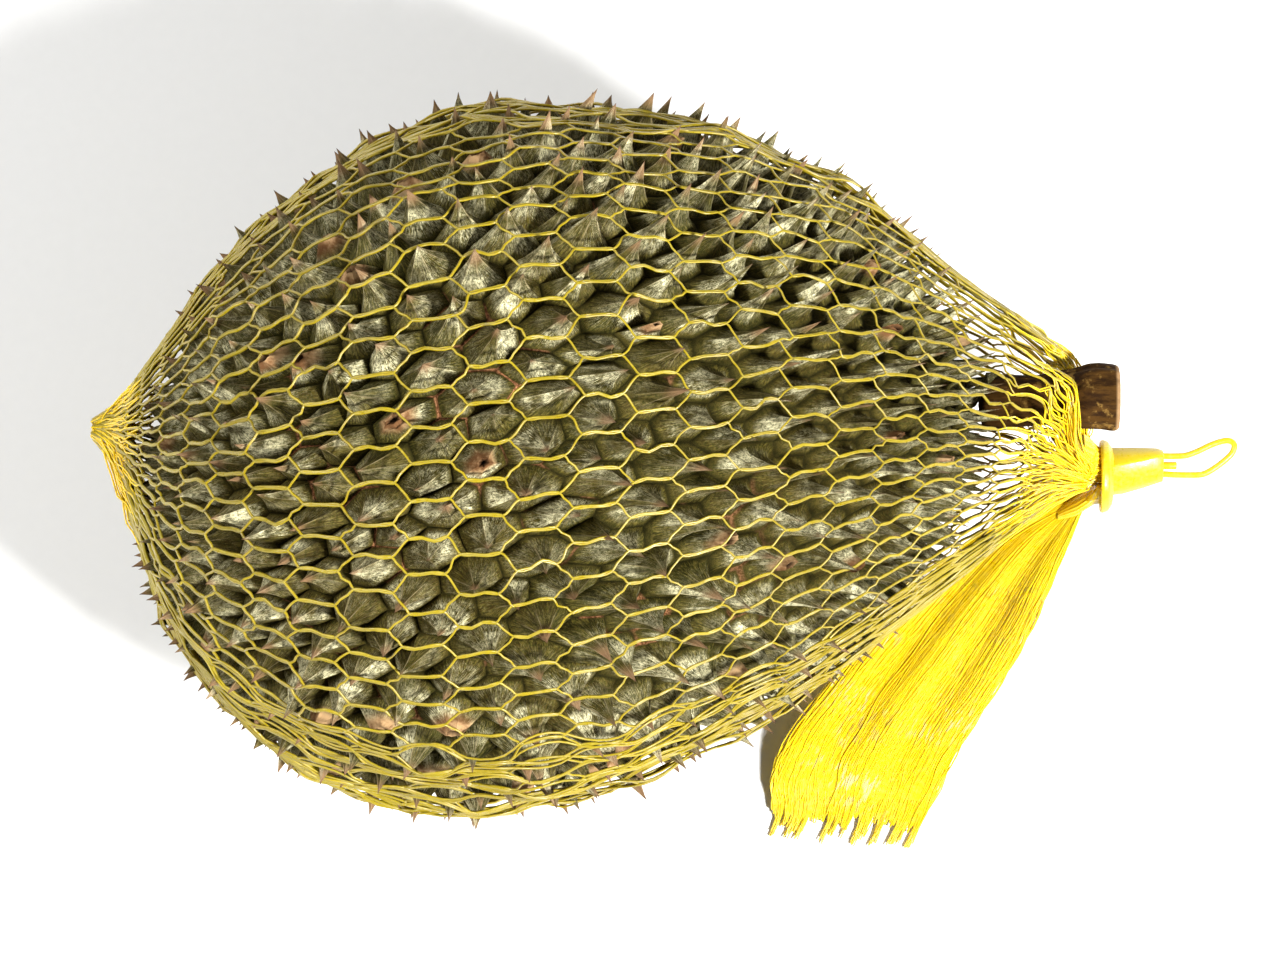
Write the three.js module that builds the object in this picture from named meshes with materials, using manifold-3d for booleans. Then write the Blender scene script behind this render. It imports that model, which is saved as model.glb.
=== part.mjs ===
// A durian lying on its side in a hexagonal plastic net bag that a clip closes at the stalk.
// Millimetres, Z up. X runs along the fruit toward its stalk. The origin is on the table
// under the middle of the whole thing.
import * as THREE from 'three';
import { ConvexHull } from 'three/addons/math/ConvexHull.js';
import { mergeVertices } from 'three/addons/utils/BufferGeometryUtils.js';
import Module from 'manifold-3d';

const wasm = await Module();
wasm.setup();

// The fruit without its spines
const WIDEST_X = -13;
const TO_STEM_END = 130;
const TO_BLIND_END = 101;
const HALF_WIDTH = 91.5;
const HALF_HEIGHT = 87.5;
const AXIS_HEIGHT = 99.4;
const AXIS_TURN = 0.1;
const LOBES = 5;
const LOBE_RISE = 0.022;

// Its spines
const PITCH_MIDDLE = 13.8;
const PITCH_BLIND_END = 10;
const PITCH_STEM_END = 7.6;
const PATCH_STRETCH = 1.4;
const SPINE_SLENDERNESS = 1.0;
const SPINE_SLENDERNESS_STEM = 1.2;
const LEAN_TO_STEM = 0.85;
const LEAN_FROM = -0.35;
const LEAN_FULL = 0.6;
const HEIGHT_SPREAD = 0.18;
const LEAN_SPREAD = 0.14;
const PLACE_SPREAD = 0.17;
const VALLEY_DEPTH = 1.2;
const REST_CUT = 2.0;

// The net, its mesh larger than life
const GAP = 0.3;
const CELLS_ROUND = 28;
const RINGS = 11;
const JOINT_SHARE = 0.66;
const STRAND_HALF_WIDTH = 0.95;
const STRAND_SPACE_SHARE = 0.27;
const STRAND_OUTER = 0.5;
const STRAND_INNER = 0.8;
const STRAND_CLEARANCE = 1.4;
const TABLE_REACH = 3.2;
const SETTLE_ROUNDS = 60;

// The stalk comes out between strands, which part round it over this share of the net
const STEM_OPENING = 1.2;
const STEM_OPENING_TURN = 0.7;
const STEM_OPENING_FROM = 0.87;

// The loose end of the net
const TAIL_CELLS = 10;
const TAIL_RINGS = 7;
const TAIL_RIPPLE = 2.2;
const TAIL_STRAND_HALF_WIDTH = 1.5;
const TAIL_SPACE_SHARE = 0.36;

// The clip
const COLLAR = { x: 153.5, y: -5, z: 80, radius: 10.6, wall: 1.7, length: 4.5 };
const CLIP_END_X = 172;
const LOOP_END_X = 193;
const LOOP_THICKNESS = 1.8;
const LOOP_BAND = 1.5;

const HUSK_COLOUR = 0x7c7440;
const STEM_COLOUR = 0x6e5230;
const NET_COLOUR = 0xe8d220;
const CLIP_COLOUR = 0xf0d818;

// ---- small helpers ----

// A seeded draw between -1 and 1.
function makeDraw(seed) {
  let state = seed;
  return () => {
    state = (Math.imul(state, 1664525) + 1013904223) >>> 0;
    return (state / 2 ** 31) - 1;
  };
}

function solidFrom(points, faces) {
  const vertProperties = new Float32Array(points.flatMap((point) => point.toArray()));
  const triVerts = new Uint32Array(faces.flat());
  return new wasm.Manifold(new wasm.Mesh({ numProp: 3, vertProperties, triVerts }));
}

function solidFromGeometry(geometry) {
  geometry.deleteAttribute('normal');
  geometry.deleteAttribute('uv');
  const merged = mergeVertices(geometry, 1e-4);
  return new wasm.Manifold(new wasm.Mesh({
    numProp: 3,
    vertProperties: new Float32Array(merged.attributes.position.array),
    triVerts: new Uint32Array(merged.index.array),
  }));
}

function meshFromSolid(solid, name, colour, roughness) {
  const { vertProperties, triVerts } = solid.getMesh();
  const geometry = new THREE.BufferGeometry();
  geometry.setAttribute('position', new THREE.BufferAttribute(vertProperties, 3));
  geometry.setIndex(new THREE.BufferAttribute(triVerts, 1));
  const material = new THREE.MeshStandardMaterial({ color: colour, roughness, metalness: 0 });
  const mesh = new THREE.Mesh(geometry, material);
  mesh.name = name;
  return mesh;
}

// The largest body, without the crumbs that a cut leaves.
function largestBody(solid) {
  const bodies = solid.decompose();
  return bodies.reduce((best, body) => (body.volume() > best.volume() ? body : best));
}

// A closed tube of ellipses that stand across X. Each station is
// [x, y, z, half-width, half-height].
function loft(stations, sides, ribs = 0) {
  const points = [];
  const faces = [];
  for (const [x, y, z, halfWidth, halfHeight] of stations) {
    for (let side = 0; side < sides; side += 1) {
      const angle = (side / sides) * 2 * Math.PI;
      const swell = 1 + ribs * (side % 2);
      const across = halfWidth * swell * Math.cos(angle);
      points.push(new THREE.Vector3(x, y + across, z + halfHeight * swell * Math.sin(angle)));
    }
  }
  for (let ring = 0; ring + 1 < stations.length; ring += 1) {
    for (let side = 0; side < sides; side += 1) {
      const here = ring * sides + side;
      const next = ring * sides + ((side + 1) % sides);
      faces.push([here, next, next + sides], [here, next + sides, here + sides]);
    }
  }
  const lastRing = (stations.length - 1) * sides;
  for (let side = 1; side + 1 < sides; side += 1) {
    faces.push([0, side + 1, side], [lastRing, lastRing + side, lastRing + side + 1]);
  }
  return solidFrom(points, faces);
}

// ---- the fruit ----

// The radius of the fruit as a share of its widest, toward an end.
function girth(towardStem) {
  if (towardStem > 0) return (1 - towardStem ** 1.8) ** 0.58;
  return (1 - towardStem ** 2) ** 0.52;
}

// A point of the fruit's skin: latitude 0 is the stem end and pi the blind end.
function skinPoint(latitude, turn, lobeRise) {
  const towardStem = Math.max(-1, Math.min(1, Math.cos(latitude)));
  const reach = towardStem > 0 ? TO_STEM_END : TO_BLIND_END;
  const x = WIDEST_X + reach * towardStem;
  const swell = 1 + lobeRise * Math.cos(LOBES * turn + 0.6) * Math.sin(latitude);
  const radius = girth(towardStem) * swell;
  const y = AXIS_TURN * x + HALF_WIDTH * radius * Math.cos(turn);
  return new THREE.Vector3(x, y, AXIS_HEIGHT + HALF_HEIGHT * radius * Math.sin(turn));
}

function skinNormal(latitude, turn) {
  const step = 0.02;
  const along = skinPoint(latitude + step, turn, LOBE_RISE)
    .sub(skinPoint(latitude - step, turn, LOBE_RISE));
  const round = skinPoint(latitude, turn + step, LOBE_RISE)
    .sub(skinPoint(latitude, turn - step, LOBE_RISE));
  return along.cross(round).normalize();
}

// Spines stand closer together toward both ends.
function pitchAt(latitude) {
  const towardStem = Math.cos(latitude);
  const endPitch = towardStem > 0 ? PITCH_STEM_END : PITCH_BLIND_END;
  return PITCH_MIDDLE + (endPitch - PITCH_MIDDLE) * Math.abs(towardStem) ** 2.5;
}

// Spine places on a golden-angle spiral that gives each spine its own patch of skin.
function spinePlaces() {
  const draw = makeDraw(7);
  const goldenTurn = Math.PI * (3 - Math.sqrt(5));
  const steps = 4000;
  const places = [];
  let room = 0.5;
  for (let step = 1; step < steps; step += 1) {
    const latitude = (step / steps) * Math.PI;
    const before = skinPoint(latitude - Math.PI / steps, 0, 0);
    const here = skinPoint(latitude, 0, 0);
    const radius = HALF_WIDTH * girth(Math.cos(latitude));
    const pitch = pitchAt(latitude);
    room += (2 * Math.PI * radius * before.distanceTo(here)) / (0.866 * pitch * pitch);
    if (room >= 1) {
      room -= 1;
      const slide = (PLACE_SPREAD * PATCH_STRETCH * pitch * draw()) / TO_BLIND_END;
      const turnSlide = ((PLACE_SPREAD / PATCH_STRETCH) * pitch * draw())
        / Math.max(radius, pitch);
      const turn = places.length * goldenTurn + turnSlide;
      places.push({ latitude: Math.max(0.01, Math.min(3.13, latitude + slide)), turn });
    }
  }
  return places;
}

// A spine's place on a ball. The ball's latitudes are drawn toward its middle, so that the
// patches, which are even on the ball, are longer along the fruit than across it.
function ballPoint(latitude, turn) {
  const drawn = 2 * Math.atan(Math.tan(latitude / 2) ** (1 / PATCH_STRETCH));
  const radius = Math.sin(drawn);
  return new THREE.Vector3(Math.cos(drawn), radius * Math.cos(turn), radius * Math.sin(turn));
}

// Each spine is a pyramid over its patch, and neighbours meet in a valley.
function makeSpines() {
  const draw = makeDraw(11);
  const spines = spinePlaces().map(({ latitude, turn }) => {
    const foot = skinPoint(latitude, turn, LOBE_RISE);
    const normal = skinNormal(latitude, turn);
    const towardStem = Math.cos(latitude);
    const stemShare = Math.max(0, towardStem) ** 3;
    const leanShare = THREE.MathUtils.smoothstep(towardStem, LEAN_FROM, LEAN_FULL);
    const slenderness = SPINE_SLENDERNESS
      + (SPINE_SLENDERNESS_STEM - SPINE_SLENDERNESS) * stemShare;
    const height = pitchAt(latitude) * slenderness * (1 + HEIGHT_SPREAD * draw());
    const leanX = LEAN_TO_STEM * leanShare + LEAN_SPREAD * draw();
    const lean = new THREE.Vector3(leanX, LEAN_SPREAD * draw(), 0);
    const tip = foot.clone().addScaledVector(normal.clone().add(lean).normalize(), height);
    return { foot, normal, tip, onBall: ballPoint(latitude, turn), corners: [] };
  });
  const hull = new ConvexHull().setFromPoints(spines.map((spine) => spine.onBall));
  const indexOf = new Map(spines.map((spine, index) => [spine.onBall, index]));
  const corners = [];
  for (const face of hull.faces) {
    const first = face.edge;
    const trio = [first, first.next, first.prev]
      .map((edge) => indexOf.get(edge.head().point));
    const corner = new THREE.Vector3();
    for (const index of trio) {
      const { foot, normal } = spines[index];
      corner.addScaledVector(foot, 1 / 3).addScaledVector(normal, -VALLEY_DEPTH / 3);
    }
    for (const index of trio) spines[index].corners.push(corners.length);
    corners.push(corner);
  }
  for (const spine of spines) sortRound(spine, corners);
  return { spines, corners };
}

// Puts a spine's corners in order round it, anticlockwise from outside.
function sortRound(spine, corners) {
  const side = new THREE.Vector3(0, 0, 1).cross(spine.normal);
  if (side.length() < 0.1) side.set(0, 1, 0);
  side.normalize();
  const up = spine.normal.clone().cross(side).normalize();
  const angleOf = (index) => {
    const arm = corners[index].clone().sub(spine.foot);
    return Math.atan2(arm.dot(up), arm.dot(side));
  };
  spine.corners.sort((one, two) => angleOf(one) - angleOf(two));
}

function makeHusk({ spines, corners }, stemRoom) {
  const points = [...corners, ...spines.map((spine) => spine.tip)];
  const faces = [];
  spines.forEach((spine, index) => {
    const tip = corners.length + index;
    spine.corners.forEach((corner, place) => {
      const next = spine.corners[(place + 1) % spine.corners.length];
      faces.push([corner, next, tip]);
    });
  });
  const whole = solidFrom(points, faces);
  return largestBody(whole.trimByPlane([0, 0, 1], REST_CUT).subtract(stemRoom));
}

// ---- the stalk ----

// The stalk thickens to its cut end. Room is the gap that other things keep from it.
function makeStem(room) {
  const stations = [
    [117.6, 14, AXIS_HEIGHT, 8.6],
    [124, 14.8, AXIS_HEIGHT, 7.9],
    [138, 15.8, AXIS_HEIGHT + 0.6, 7.5],
    [145, 16.2, AXIS_HEIGHT + 1, 8.3],
    [149.5, 16.4, AXIS_HEIGHT + 1, 9.7],
    [156.8, 16.4, AXIS_HEIGHT + 1, 9.9],
    [158, 16.4, AXIS_HEIGHT + 1, 8.9],
  ];
  const rings = stations.map(([x, y, z, radius], index) => {
    const end = index === 0 ? -room : room * Math.sign(Math.max(0, index - 5));
    return [x + end, y, z, radius + room, radius * 0.96 + room];
  });
  return loft(rings, 16, 0.04);
}

// ---- strands ----

// One closed solid from a mesh of strands. Each has a flat outer side and an inner ridge.
// Nodes carry a place, an outward direction and a half-width.
function strandSolid(nodes, strands) {
  const points = [];
  const faces = [];
  const ends = nodes.map(() => []);
  strands.forEach(([one, two]) => {
    ends[one].push({ to: two });
    ends[two].push({ to: one });
  });
  const addPoint = (point) => points.push(point) - 1;
  nodes.forEach((node, index) => {
    const side = nodes[ends[index][0].to].place.clone().sub(node.place).normalize();
    side.addScaledVector(node.out, -side.dot(node.out)).normalize();
    const up = node.out.clone().cross(side);
    for (const end of ends[index]) {
      const arm = nodes[end.to].place.clone().sub(node.place);
      end.length = arm.length();
      end.angle = Math.atan2(arm.dot(up), arm.dot(side));
    }
    ends[index].sort((one, two) => one.angle - two.angle);
    node.ridge = addPoint(node.place.clone().addScaledVector(node.out, -STRAND_INNER));
    const around = ends[index];
    const face = node.place.clone().addScaledVector(node.out, STRAND_OUTER);
    const cornerAt = (angle, distance) => addPoint(face.clone()
      .addScaledVector(side, Math.cos(angle) * distance)
      .addScaledVector(up, Math.sin(angle) * distance));
    around.forEach((end, place) => {
      const next = around[(place + 1) % around.length];
      const gap = around.length === 1 ? Math.PI : (next.angle - end.angle + 4 * Math.PI)
        % (2 * Math.PI);
      const reach = Math.min(node.width / Math.sin(gap / 2), 0.7 * Math.min(end.length, next.length));
      end.left = cornerAt(end.angle + gap / 2, Math.max(reach, node.width));
      next.right = end.left;
    });
    if (around.length === 1) {
      around[0].right = cornerAt(around[0].angle - Math.PI / 2, node.width);
      faces.push([around[0].left, around[0].right, node.ridge].reverse());
    }
    for (let place = 1; place + 1 < around.length; place += 1) {
      faces.push([around[0].left, around[place].left, around[place + 1].left]);
    }
  });
  strands.forEach(([one, two]) => {
    const near = ends[one].find((end) => end.to === two);
    const far = ends[two].find((end) => end.to === one);
    faces.push([near.left, near.right, far.left], [near.left, far.left, far.right]);
    faces.push([near.right, nodes[one].ridge, nodes[two].ridge]);
    faces.push([near.right, nodes[two].ridge, far.left]);
    faces.push([nodes[one].ridge, near.left, far.right]);
    faces.push([nodes[one].ridge, far.right, nodes[two].ridge]);
  });
  return solidFrom(points, faces);
}

// A hexagonal net: joints run along, and slanted strands link each joint to the next ring.
// placeAt(along, across) gives a node, with both between 0 and 1.
function hexNet(rings, cells, isClosed, placeAt) {
  const nodes = [];
  const strands = [];
  const startOf = new Map();
  const columns = 2 * cells;
  for (let ring = 0; ring < rings; ring += 1) {
    for (let column = ring % 2; column < columns; column += 2) {
      startOf.set(`${ring},${column}`, nodes.length);
      const across = isClosed ? column / columns : column / (columns - 1);
      const length = rings - 1 + JOINT_SHARE;
      nodes.push(placeAt(ring / length, across), placeAt((ring + JOINT_SHARE) / length, across));
      strands.push([nodes.length - 2, nodes.length - 1]);
    }
  }
  for (const [key, start] of startOf) {
    const [ring, column] = key.split(',').map(Number);
    for (const side of [-1, 1]) {
      const beside = isClosed ? (column + side + columns) % columns : column + side;
      const next = startOf.get(`${ring + 1},${beside}`);
      if (next !== undefined) strands.push([start + 1, next]);
    }
  }
  return { nodes, strands };
}

// ---- the net round the fruit ----

// Where the net is drawn on before it settles: centre, half-width and half-height.
const BAG_STATIONS = [
  [-127.5, 5, 95, 9.5, 9.5],
  [-126, -2, 97, 30, 30],
  [-115, -9, 99, 56, 54],
  [-80, -8, 101, 88, 86],
  [-13, -1, 101, 111, 108],
  [50, 5, 101, 98, 96],
  [95, 9, 101, 71, 70],
  [124, 10, 99, 46, 46],
  [141, 6, 93, 27, 27],
  [149, 0.2, 85.5, 7.6, 7.8],
];

function bagSurface() {
  const centre = new THREE.CatmullRomCurve3(BAG_STATIONS
    .map(([x, y, z]) => new THREE.Vector3(x, y, z)));
  const size = new THREE.CatmullRomCurve3(BAG_STATIONS
    .map(([, , , width, height]) => new THREE.Vector3(width, height, 0)));
  const samples = 400;
  const lengths = [0];
  for (let sample = 1; sample <= samples; sample += 1) {
    const step = centre.getPoint(sample / samples).sub(centre.getPoint((sample - 1) / samples));
    const swell = size.getPoint(sample / samples).sub(size.getPoint((sample - 1) / samples));
    lengths.push(lengths[sample - 1] + Math.hypot(step.length(), swell.x));
  }
  return (along, turn) => {
    const wanted = along * lengths[samples];
    const sample = Math.max(1, lengths.findIndex((length) => length >= wanted));
    const part = (wanted - lengths[sample - 1]) / (lengths[sample] - lengths[sample - 1]);
    const share = Math.min(1, (sample - 1 + part) / samples);
    const middle = centre.getPoint(share);
    const { x: width, y: height } = size.getPoint(share);
    const arm = new THREE.Vector3(0, width * Math.cos(turn), height * Math.sin(turn));
    return { middle, place: middle.clone().add(arm), reach: width };
  };
}

// How far a point is from the nearest spine, measured to the planes of its sides.
function clearanceFrom(near, point) {
  let least = Infinity;
  for (const obstacle of near) {
    let outside = REST_CUT - point.z;
    for (const plane of obstacle.planes) {
      outside = Math.max(outside, plane.distanceToPoint(point));
      if (outside > least) break;
    }
    least = Math.min(least, outside);
  }
  return least;
}

function spinePlanes({ spines, corners }) {
  return spines.map((spine) => ({
    tip: spine.tip,
    planes: spine.corners.map((corner, place) => {
      const next = spine.corners[(place + 1) % spine.corners.length];
      return new THREE.Plane().setFromCoplanarPoints(corners[corner], corners[next], spine.tip);
    }),
  }));
}

// The net is pulled tight by its own strands, and stays clear of spines, stalk and table.
function settle({ nodes, strands }, obstacles, stemLine, stemRadius) {
  const neighbours = nodes.map(() => []);
  for (const [one, two] of strands) {
    neighbours[one].push(two);
    neighbours[two].push(one);
  }
  const clearanceAt = (index, place) => {
    let least = Infinity;
    const onStem = new THREE.Vector3();
    const point = new THREE.Vector3();
    for (const other of neighbours[index]) {
      const steps = Math.ceil(place.distanceTo(nodes[other].place) / 1.3);
      for (let step = 0; step <= steps; step += 1) {
        point.lerpVectors(place, nodes[other].place, step / steps);
        stemLine.closestPointToPoint(point, true, onStem);
        least = Math.min(least, point.distanceTo(onStem) - stemRadius);
        least = Math.min(least, clearanceFrom(nodes[index].near, point));
      }
    }
    return least;
  };
  const isFixed = (index) => neighbours[index].length < 3;
  for (let round = 0; round < SETTLE_ROUNDS; round += 1) {
    if (round % 20 === 0) {
      for (const node of nodes) {
        node.near = obstacles.filter(({ tip }) => tip.distanceTo(node.place) < 42);
      }
    }
    nodes.forEach((node, index) => {
      if (isFixed(index)) return;
      const pull = new THREE.Vector3();
      for (const other of neighbours[index]) pull.add(nodes[other].place);
      pull.divideScalar(neighbours[index].length).sub(node.place);
      const inward = node.middle.clone().sub(node.place).normalize();
      const now = clearanceAt(index, node.place);
      if (now < STRAND_CLEARANCE) pull.copy(inward).multiplyScalar(-0.6);
      else pull.addScaledVector(inward, 0.5);
      for (const share of [0.8, 0.3, 0.1]) {
        const place = node.place.clone().addScaledVector(pull, share);
        place.z = Math.max(place.z, STRAND_OUTER);
        const then = clearanceAt(index, place);
        if (then >= STRAND_CLEARANCE || then > now) {
          node.place.copy(place);
          break;
        }
      }
    });
  }
}

// Strands just over the table lie flat on it.
function layOnTable(nodes) {
  for (const node of nodes) {
    if (node.place.z < TABLE_REACH) node.place.z = STRAND_OUTER;
  }
}

// The outward direction of each node, square to the strands that meet there.
function faceOutward({ nodes, strands }) {
  const neighbours = nodes.map(() => []);
  for (const [one, two] of strands) {
    neighbours[one].push(nodes[two].place);
    neighbours[two].push(nodes[one].place);
  }
  nodes.forEach((node, index) => {
    const outward = node.place.clone().sub(node.middle).normalize();
    const [first, second, third] = neighbours[index];
    node.out = outward;
    if (third) {
      const square = second.clone().sub(first).cross(third.clone().sub(first)).normalize();
      node.out = square.dot(outward) < 0 ? square.negate() : square;
    }
    if (node.place.z === STRAND_OUTER) node.out = new THREE.Vector3(0, 0, -1);
  });
}

// Turns the strands near the stalk to one side or the other of it.
function turnAsideOfStem(along, turn) {
  const part = Math.max(0, (along - STEM_OPENING_FROM) / (1 - STEM_OPENING_FROM));
  const fromStem = ((turn - STEM_OPENING_TURN + 3 * Math.PI) % (2 * Math.PI)) - Math.PI;
  const opening = STEM_OPENING * part;
  const aside = opening + Math.abs(fromStem) * (1 - opening / Math.PI);
  return STEM_OPENING_TURN + (fromStem < 0 ? -aside : aside);
}

function makeBag(form) {
  const surface = bagSurface();
  const net = hexNet(RINGS, CELLS_ROUND, true, (along, across) => {
    const turn = turnAsideOfStem(along, across * 2 * Math.PI);
    const { middle, place, reach } = surface(along, turn);
    place.z = Math.max(place.z, STRAND_OUTER);
    const width = Math.min(STRAND_HALF_WIDTH, (STRAND_SPACE_SHARE * 2 * Math.PI * reach)
      / CELLS_ROUND);
    return { middle, place, width };
  });
  const stemLine = new THREE.Line3(
    new THREE.Vector3(118, 14.2, AXIS_HEIGHT + 0.5),
    new THREE.Vector3(157, 16.4, AXIS_HEIGHT + 1),
  );
  settle(net, spinePlanes(form), stemLine, 10.2);
  layOnTable(net.nodes);
  faceOutward(net);
  const gather = loft([
    [-133, 7.5, 95, 3.5, 3.2],
    [-131.8, 7, 95, 6, 5.6],
    [-129, 6, 95, 9.5, 9.5],
    [-127, 5, 95, 11, 11],
    [-125.2, 5, 95, 9, 9],
  ], 13, 0.08);
  const neck = loft([
    [145.5, 1.2, 87.2, 7, 7],
    [147.5, 0.5, 86.5, 9.2, 9.4],
    [150.5, 0, 83.5, 6.6, 7.4],
    [153, -1, 80.4, 3.6, 5.8],
    [157, -1, 80.2, 3.4, 5.4],
  ], 14, 0.06);
  return wasm.Manifold.union([strandSolid(net.nodes, net.strands), gather, neck]);
}

// ---- the clip and the loose end of the net ----

function makeClip() {
  const { x, y, z, radius, wall, length } = COLLAR;
  const cup = loft([
    [x, y, z, radius, radius],
    [x + length, y, z, radius, radius],
    [x + length + 2, y, z, 8.2, 8.6],
  ], 24);
  const hollow = loft([
    [x - 1, y, z, radius - wall, radius - wall],
    [x + length, y, z, radius - wall, radius - wall],
  ], 24);
  const strap = loft([
    [x + length + 1, y + 1.5, z, 7.8, 6.6],
    [x + length + 6, y + 1.5, z, 8.2, 6.8],
    [CLIP_END_X - 1.5, y + 3.2, z, 6.6, 5.4],
    [CLIP_END_X, y + 3.4, z, 5.8, 4.6],
  ], 8);
  const nub = loft([
    [CLIP_END_X - 1, y + 3.4, z, 1.2, 1.2],
    [CLIP_END_X + 2.5, y + 3.4, z, 0.8, 0.8],
  ], 8);
  return wasm.Manifold.union([cup.subtract(hollow), strap, nub, makeLoop(y + 3.4, z)]);
}

// The hanging loop: a flat drop that ends in a point at its far end.
function makeLoop(y, z) {
  const outline = (inset) => {
    const start = CLIP_END_X - 1 + inset;
    const end = LOOP_END_X - 2.2 * inset;
    const half = 5 - inset;
    return [
      new THREE.Vector2(start, y - 3.6 + inset * 0.6),
      new THREE.Vector2(start + 5, y - half),
      new THREE.Vector2(start + 11, y - half + 0.6),
      new THREE.Vector2(end, y + 2),
      new THREE.Vector2(end - 1.5, y + 3.4 - inset * 0.5),
      new THREE.Vector2(start + 10, y + half),
      new THREE.Vector2(start + 5, y + half),
      new THREE.Vector2(start, y + 3.6 - inset * 0.6),
    ];
  };
  const drop = new THREE.Shape(outline(0));
  drop.holes.push(new THREE.Path(outline(LOOP_BAND)));
  const plate = new THREE.ExtrudeGeometry(drop, { depth: LOOP_THICKNESS, bevelEnabled: false });
  plate.translate(0, 0, z - LOOP_THICKNESS / 2);
  return solidFromGeometry(plate);
}

// The net comes back out of the collar and fans down to the table beside the fruit.
function makeTail() {
  const stemSide = new THREE.CatmullRomCurve3([
    new THREE.Vector3(149, -13.6, 75),
    new THREE.Vector3(143, -29, 62),
    new THREE.Vector3(132, -54, 38),
    new THREE.Vector3(115, -82, 12),
    new THREE.Vector3(104, -105, 0.9),
  ]);
  const fruitSide = new THREE.CatmullRomCurve3([
    new THREE.Vector3(142, -12.5, 70.5),
    new THREE.Vector3(117, -22, 56),
    new THREE.Vector3(84, -54, 25),
    new THREE.Vector3(63, -82, 8),
    new THREE.Vector3(61, -100, 0.9),
  ]);
  const spotAt = (along, across) => {
    const spot = stemSide.getPoint(along).lerp(fruitSide.getPoint(along), across);
    spot.z += TAIL_RIPPLE * Math.sin(Math.PI * along) ** 2 * Math.sin(across * 5 * Math.PI);
    return spot;
  };
  const outwardAt = (along, across) => {
    const down = spotAt(along + 0.02, across).sub(spotAt(along - 0.02, across));
    const over = spotAt(along, across + 0.02).sub(spotAt(along, across - 0.02));
    return over.cross(down).normalize();
  };
  const draw = makeDraw(23);
  const net = hexNet(TAIL_RINGS, TAIL_CELLS, false, (along, across) => {
    const loose = along > 0.97 ? 0.02 + 0.02 * draw() : 0;
    const place = spotAt(along - loose, across);
    const spread = stemSide.getPoint(along).distanceTo(fruitSide.getPoint(along));
    const width = Math.min(TAIL_STRAND_HALF_WIDTH, (TAIL_SPACE_SHARE * spread) / TAIL_CELLS);
    const steady = Math.min(0.96, Math.max(0.04, along));
    return { place, out: outwardAt(steady, across), width };
  });
  const root = loft([
    [140.2, -15.4, 68.8, 4.2, 4.4],
    [147, -13, 73.5, 4, 4.6],
    [151, -10.6, 77, 3, 5],
    [153, -9.6, 79.2, 2.7, 5.4],
    [157, -9.6, 79.5, 2.6, 5.2],
  ], 11, 0.06);
  return wasm.Manifold.union([strandSolid(net.nodes, net.strands), root]);
}

// ---- the whole thing ----

function makeDurian() {
  const form = makeSpines();
  const group = new THREE.Group();
  group.name = 'durian';
  group.add(
    meshFromSolid(makeHusk(form, makeStem(GAP)), 'husk', HUSK_COLOUR, 0.85),
    meshFromSolid(makeStem(0), 'stem', STEM_COLOUR, 0.8),
    meshFromSolid(makeBag(form), 'net_bag', NET_COLOUR, 0.45),
    meshFromSolid(makeClip(), 'clip', CLIP_COLOUR, 0.4),
    meshFromSolid(makeTail(), 'net_tail', NET_COLOUR, 0.45),
  );
  const bounds = new THREE.Box3().setFromObject(group);
  const middle = bounds.getCenter(new THREE.Vector3());
  for (const mesh of group.children) {
    mesh.geometry.translate(-middle.x, -middle.y, -bounds.min.z);
  }
  return group;
}

export default makeDurian();
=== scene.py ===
# %% [markdown]
# # A durian in its net bag
#
# The fruit lies on its side in a yellow plastic net. A plastic clip closes the net at the
# stalk and folds its loose end back, so that it fans out on the table.
# The frame gives the place of every piece. This lesson gives them their real looks.

# %% Load the frame
import math

import bmesh
import bpy
import numpy as np
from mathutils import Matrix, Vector
from mathutils.bvhtree import BVHTree


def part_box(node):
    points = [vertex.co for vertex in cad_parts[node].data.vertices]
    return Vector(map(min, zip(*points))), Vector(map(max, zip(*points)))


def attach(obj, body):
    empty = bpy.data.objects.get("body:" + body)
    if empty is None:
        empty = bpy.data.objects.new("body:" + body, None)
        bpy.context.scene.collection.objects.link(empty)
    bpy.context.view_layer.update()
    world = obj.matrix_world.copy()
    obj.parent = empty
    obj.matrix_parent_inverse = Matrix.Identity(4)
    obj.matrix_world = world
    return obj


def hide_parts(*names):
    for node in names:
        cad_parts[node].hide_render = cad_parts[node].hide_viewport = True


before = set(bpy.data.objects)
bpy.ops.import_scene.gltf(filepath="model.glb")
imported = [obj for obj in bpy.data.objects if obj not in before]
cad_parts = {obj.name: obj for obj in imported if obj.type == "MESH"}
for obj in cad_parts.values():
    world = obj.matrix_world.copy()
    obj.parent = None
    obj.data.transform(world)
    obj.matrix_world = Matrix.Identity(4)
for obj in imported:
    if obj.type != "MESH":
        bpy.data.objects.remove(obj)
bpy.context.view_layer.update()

MM = 0.001
print("nodes:", sorted(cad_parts))

# %% [markdown]
# ## Where things are
#
# All shapes below are worked out in millimetres on the fruit's own axes. The stalk's cut
# end and the middle of the clip say how far those axes are from the frame's.

# %% Measure the frame
STEM_END_X = 158.0
COLLAR = np.array([153.5, -5.0, 80.0])
stem_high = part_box("stem")[1]
clip_low, clip_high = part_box("clip")
SHIFT = np.array([
    stem_high.x / MM - STEM_END_X,
    (clip_low.y + clip_high.y) / 2 / MM - COLLAR[1],
    0.0,
])
print("axes are moved by", SHIFT.round(2), "mm")


def to_frame(points):
    return (np.asarray(points, dtype=float) + SHIFT) * MM


def deselect():
    if bpy.context.object and bpy.context.object.mode != "OBJECT":
        bpy.ops.object.mode_set(mode="OBJECT")
    bpy.ops.object.select_all(action="DESELECT")


def pick(obj):
    deselect()
    obj.select_set(True)
    bpy.context.view_layer.objects.active = obj


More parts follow.
